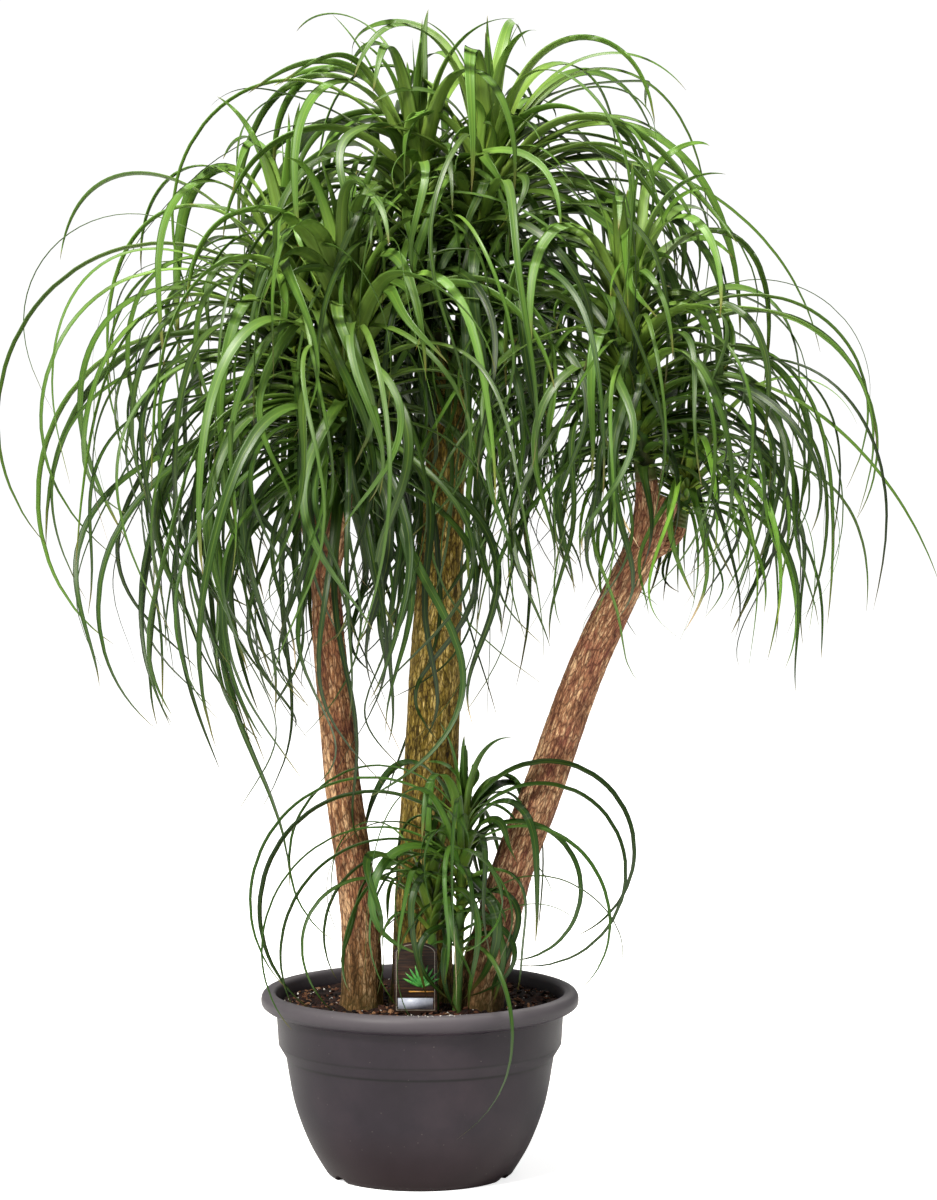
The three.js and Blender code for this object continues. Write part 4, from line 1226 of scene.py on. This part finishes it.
def tag_outline(inset, stake=()):
    """The label's arched outline, inset, with the stake's points if they are given."""
    half = TAG["width"] / 2 - inset
    shoulder, top = TAG["height"] - TAG["arch"] - inset * 0.4, TAG["arch"] - inset * 0.6
    turns = [math.pi * i / TAG_ARCH_STEPS for i in range(TAG_ARCH_STEPS + 1)]
    arch = [(half * math.cos(turn), shoulder + top * math.sin(turn)) for turn in turns]
    return [(half, inset), *arch, (-half, inset), *stake]


def fan_leaf(number):
    """The outline of one leaf of the printed fan."""
    lean = math.radians(lerp(-FAN["lean"], FAN["lean"], number / (FAN["leaves"] - 1)))
    length = FAN["length"] + FAN["longer"] * math.cos(lean)
    ahead, side = (math.sin(lean), math.cos(lean)), (math.cos(lean), -math.sin(lean))
    points = [(k / FAN["steps"], FAN["width"] * math.sin(math.pi * k / FAN["steps"]) ** 0.8)
              for k in range(FAN["steps"] + 1)]
    points += [(share, -width) for share, width in reversed(points[1:-1])]
    return [(FAN["x"] + ahead[0] * share * length + side[0] * width,
             FAN["z"] + ahead[1] * share * length + side[1] * width) for share, width in points]


def rectangle(left, bottom, right, top):
    return [(left, bottom), (right, bottom), (right, top), (left, top)]


def tag_pieces(card, line_print, green, pale, ochre):
    thick, motif = PRINT["thick"], PRINT["motif"]
    card_shape = flat_shape(tag_outline(0, TAG_STAKE), 0, TAG["thick"])
    rim = flat_shape(tag_outline(3), PRINT["line"], thick)
    panel = flat_shape(tag_outline(3.7), PRINT["panel"], thick)
    crease(make_piece("tag_card", card_shape, card, "tag", ["plant_tag"]), SHARP)
    crease(make_piece("tag_line", rim, line_print, "tag"), SHARP)
    crease(make_piece("tag_panel", panel, card, "tag"), SHARP)
    fan = [flat_shape(fan_leaf(i), motif + PRINT["step"] * i, thick) for i in range(FAN["leaves"])]
    make_piece("tag_leaf_print", joined(fan), green, "tag")
    make_piece("tag_bar_print", flat_shape(rectangle(*BAR), motif, thick), ochre, "tag")
    make_piece("tag_block_print", flat_shape(rectangle(*BLOCK), motif, thick), pale, "tag")


# Studio
def seen_or_felt(tree, seen, felt):
    """One strength of light where the camera looks, and another one that falls on the plant."""
    looked_at = add(tree, "ShaderNodeLightPath").outputs["Is Camera Ray"]
    return maths(tree, "MULTIPLY_ADD", looked_at, seen - felt, third=felt)


def floor_piece():
    shape = bmesh.new()
    bmesh.ops.create_circle(shape, cap_ends=True, segments=64, radius=30)
    mesh = as_mesh("floor", shape)
    material, tree, shader = new_material("floor", 0.9, 0.1)
    shader.inputs["Base Color"].default_value = (0.97, 0.97, 0.97, 1)
    shader.inputs["Emission Color"].default_value = (1, 1, 1, 1)
    tree.links.new(seen_or_felt(tree, *FLOOR_GLOW), shader.inputs["Emission Strength"])
    mesh.materials.append(material)
    placed("floor", mesh)


def lamp(name, place, aim, size, power):
    data = bpy.data.lights.new(name, "AREA")
    data.shape = "DISK"
    data.size = size
    data.energy = power
    data.color = LAMP_COLOUR
    light = placed(name, data)
    light.location = place
    light.rotation_mode = "QUATERNION"
    light.rotation_quaternion = (Vector((0, 0, aim)) - Vector(place)).to_track_quat("-Z", "Y")


def studio():
    floor_piece()
    world = bpy.data.worlds.new("studio")
    bpy.context.scene.world = world
    world.use_nodes = True
    sky = world.node_tree.nodes["Background"]
    sky.inputs["Color"].default_value = (1, 1, 1, 1)
    world.node_tree.links.new(seen_or_felt(world.node_tree, *SKY_GLOW), sky.inputs["Strength"])
    for name, row in LAMPS.items():
        lamp(name, *row)
    bpy.context.scene.view_settings.view_transform = "Standard"


def photo_camera():
    data = bpy.data.cameras.new("camera")
    data.sensor_fit = "AUTO"
    data.sensor_width = SENSOR
    data.lens = SENSOR * FOCAL_PIXELS / FRAME_PIXELS
    camera = placed("camera", data)
    camera.location = CAMERA_PLACE
    camera.rotation_euler = (math.radians(90 - CAMERA_DOWN), 0, 0)
    bpy.context.scene.camera = camera


def planting():
    """The pot, the soil and what lies on them."""
    pot_piece(plastic_material())
    soil_piece(soil_material())
    chips = chip_material("bark_chips", [(0.1, "#100807"), (0.5, "#2b1710"), (0.8, "#5f3a28"),
                                         (1.0, "#8a6547")], 0.85)
    pale = chip_material("perlite", [(0.0, "#b9b2a8"), (1.0, "#f2efe9")], 0.7)
    scattered("soil_chips", chips, count=1300, sizes=(1.6, 5.2), flatness=0.5, seed=5)
    scattered("soil_perlite", pale, count=170, sizes=(0.8, 2.0), flatness=0.8, seed=8)
    scattered("rim_crumbs", pale, count=22, sizes=(0.4, 1.3), flatness=0.6, seed=12, spot=on_rim)


def trunks():
    for name, (slot, sides, colours) in BARKS.items():
        trunk_piece(name, bark_material(slot, *colours), slot, sides)
    stump_piece(cut_wood_material())


def crowns():
    materials = {name: leaf_material(name, *colours) for name, colours in LEAVES.items()}
    stems = stem_material()
    template = blade_template()
    standing = [tree_of(name) for name in ("pot", "soil", "plant_tag", *TRUNKS)]
    for crown in CROWNS:
        kind, slot = ("leaf" if crown["trunk"] else "shoot_leaf"), "leaves"
        if crown["name"] == "crown_right_small":
            kind, slot = "young_leaf", "young_leaves"
        crown_piece(crown, template, standing, materials[kind], slot)
        stem_piece(crown, stems, slot)
    bpy.data.meshes.remove(template)


def label():
    tag_pieces(plank_material(), plain_print("label_line", "#8f867a", "#a8a093"),
               plain_print("label_green", "#2f7a35", "#5bb04c"),
               plain_print("label_pale", "#aeb4c6", "#c9cedb"),
               plain_print("label_ochre", "#c98a35", "#e0a650"))


planting()
trunks()
crowns()
label()
studio()
photo_camera()
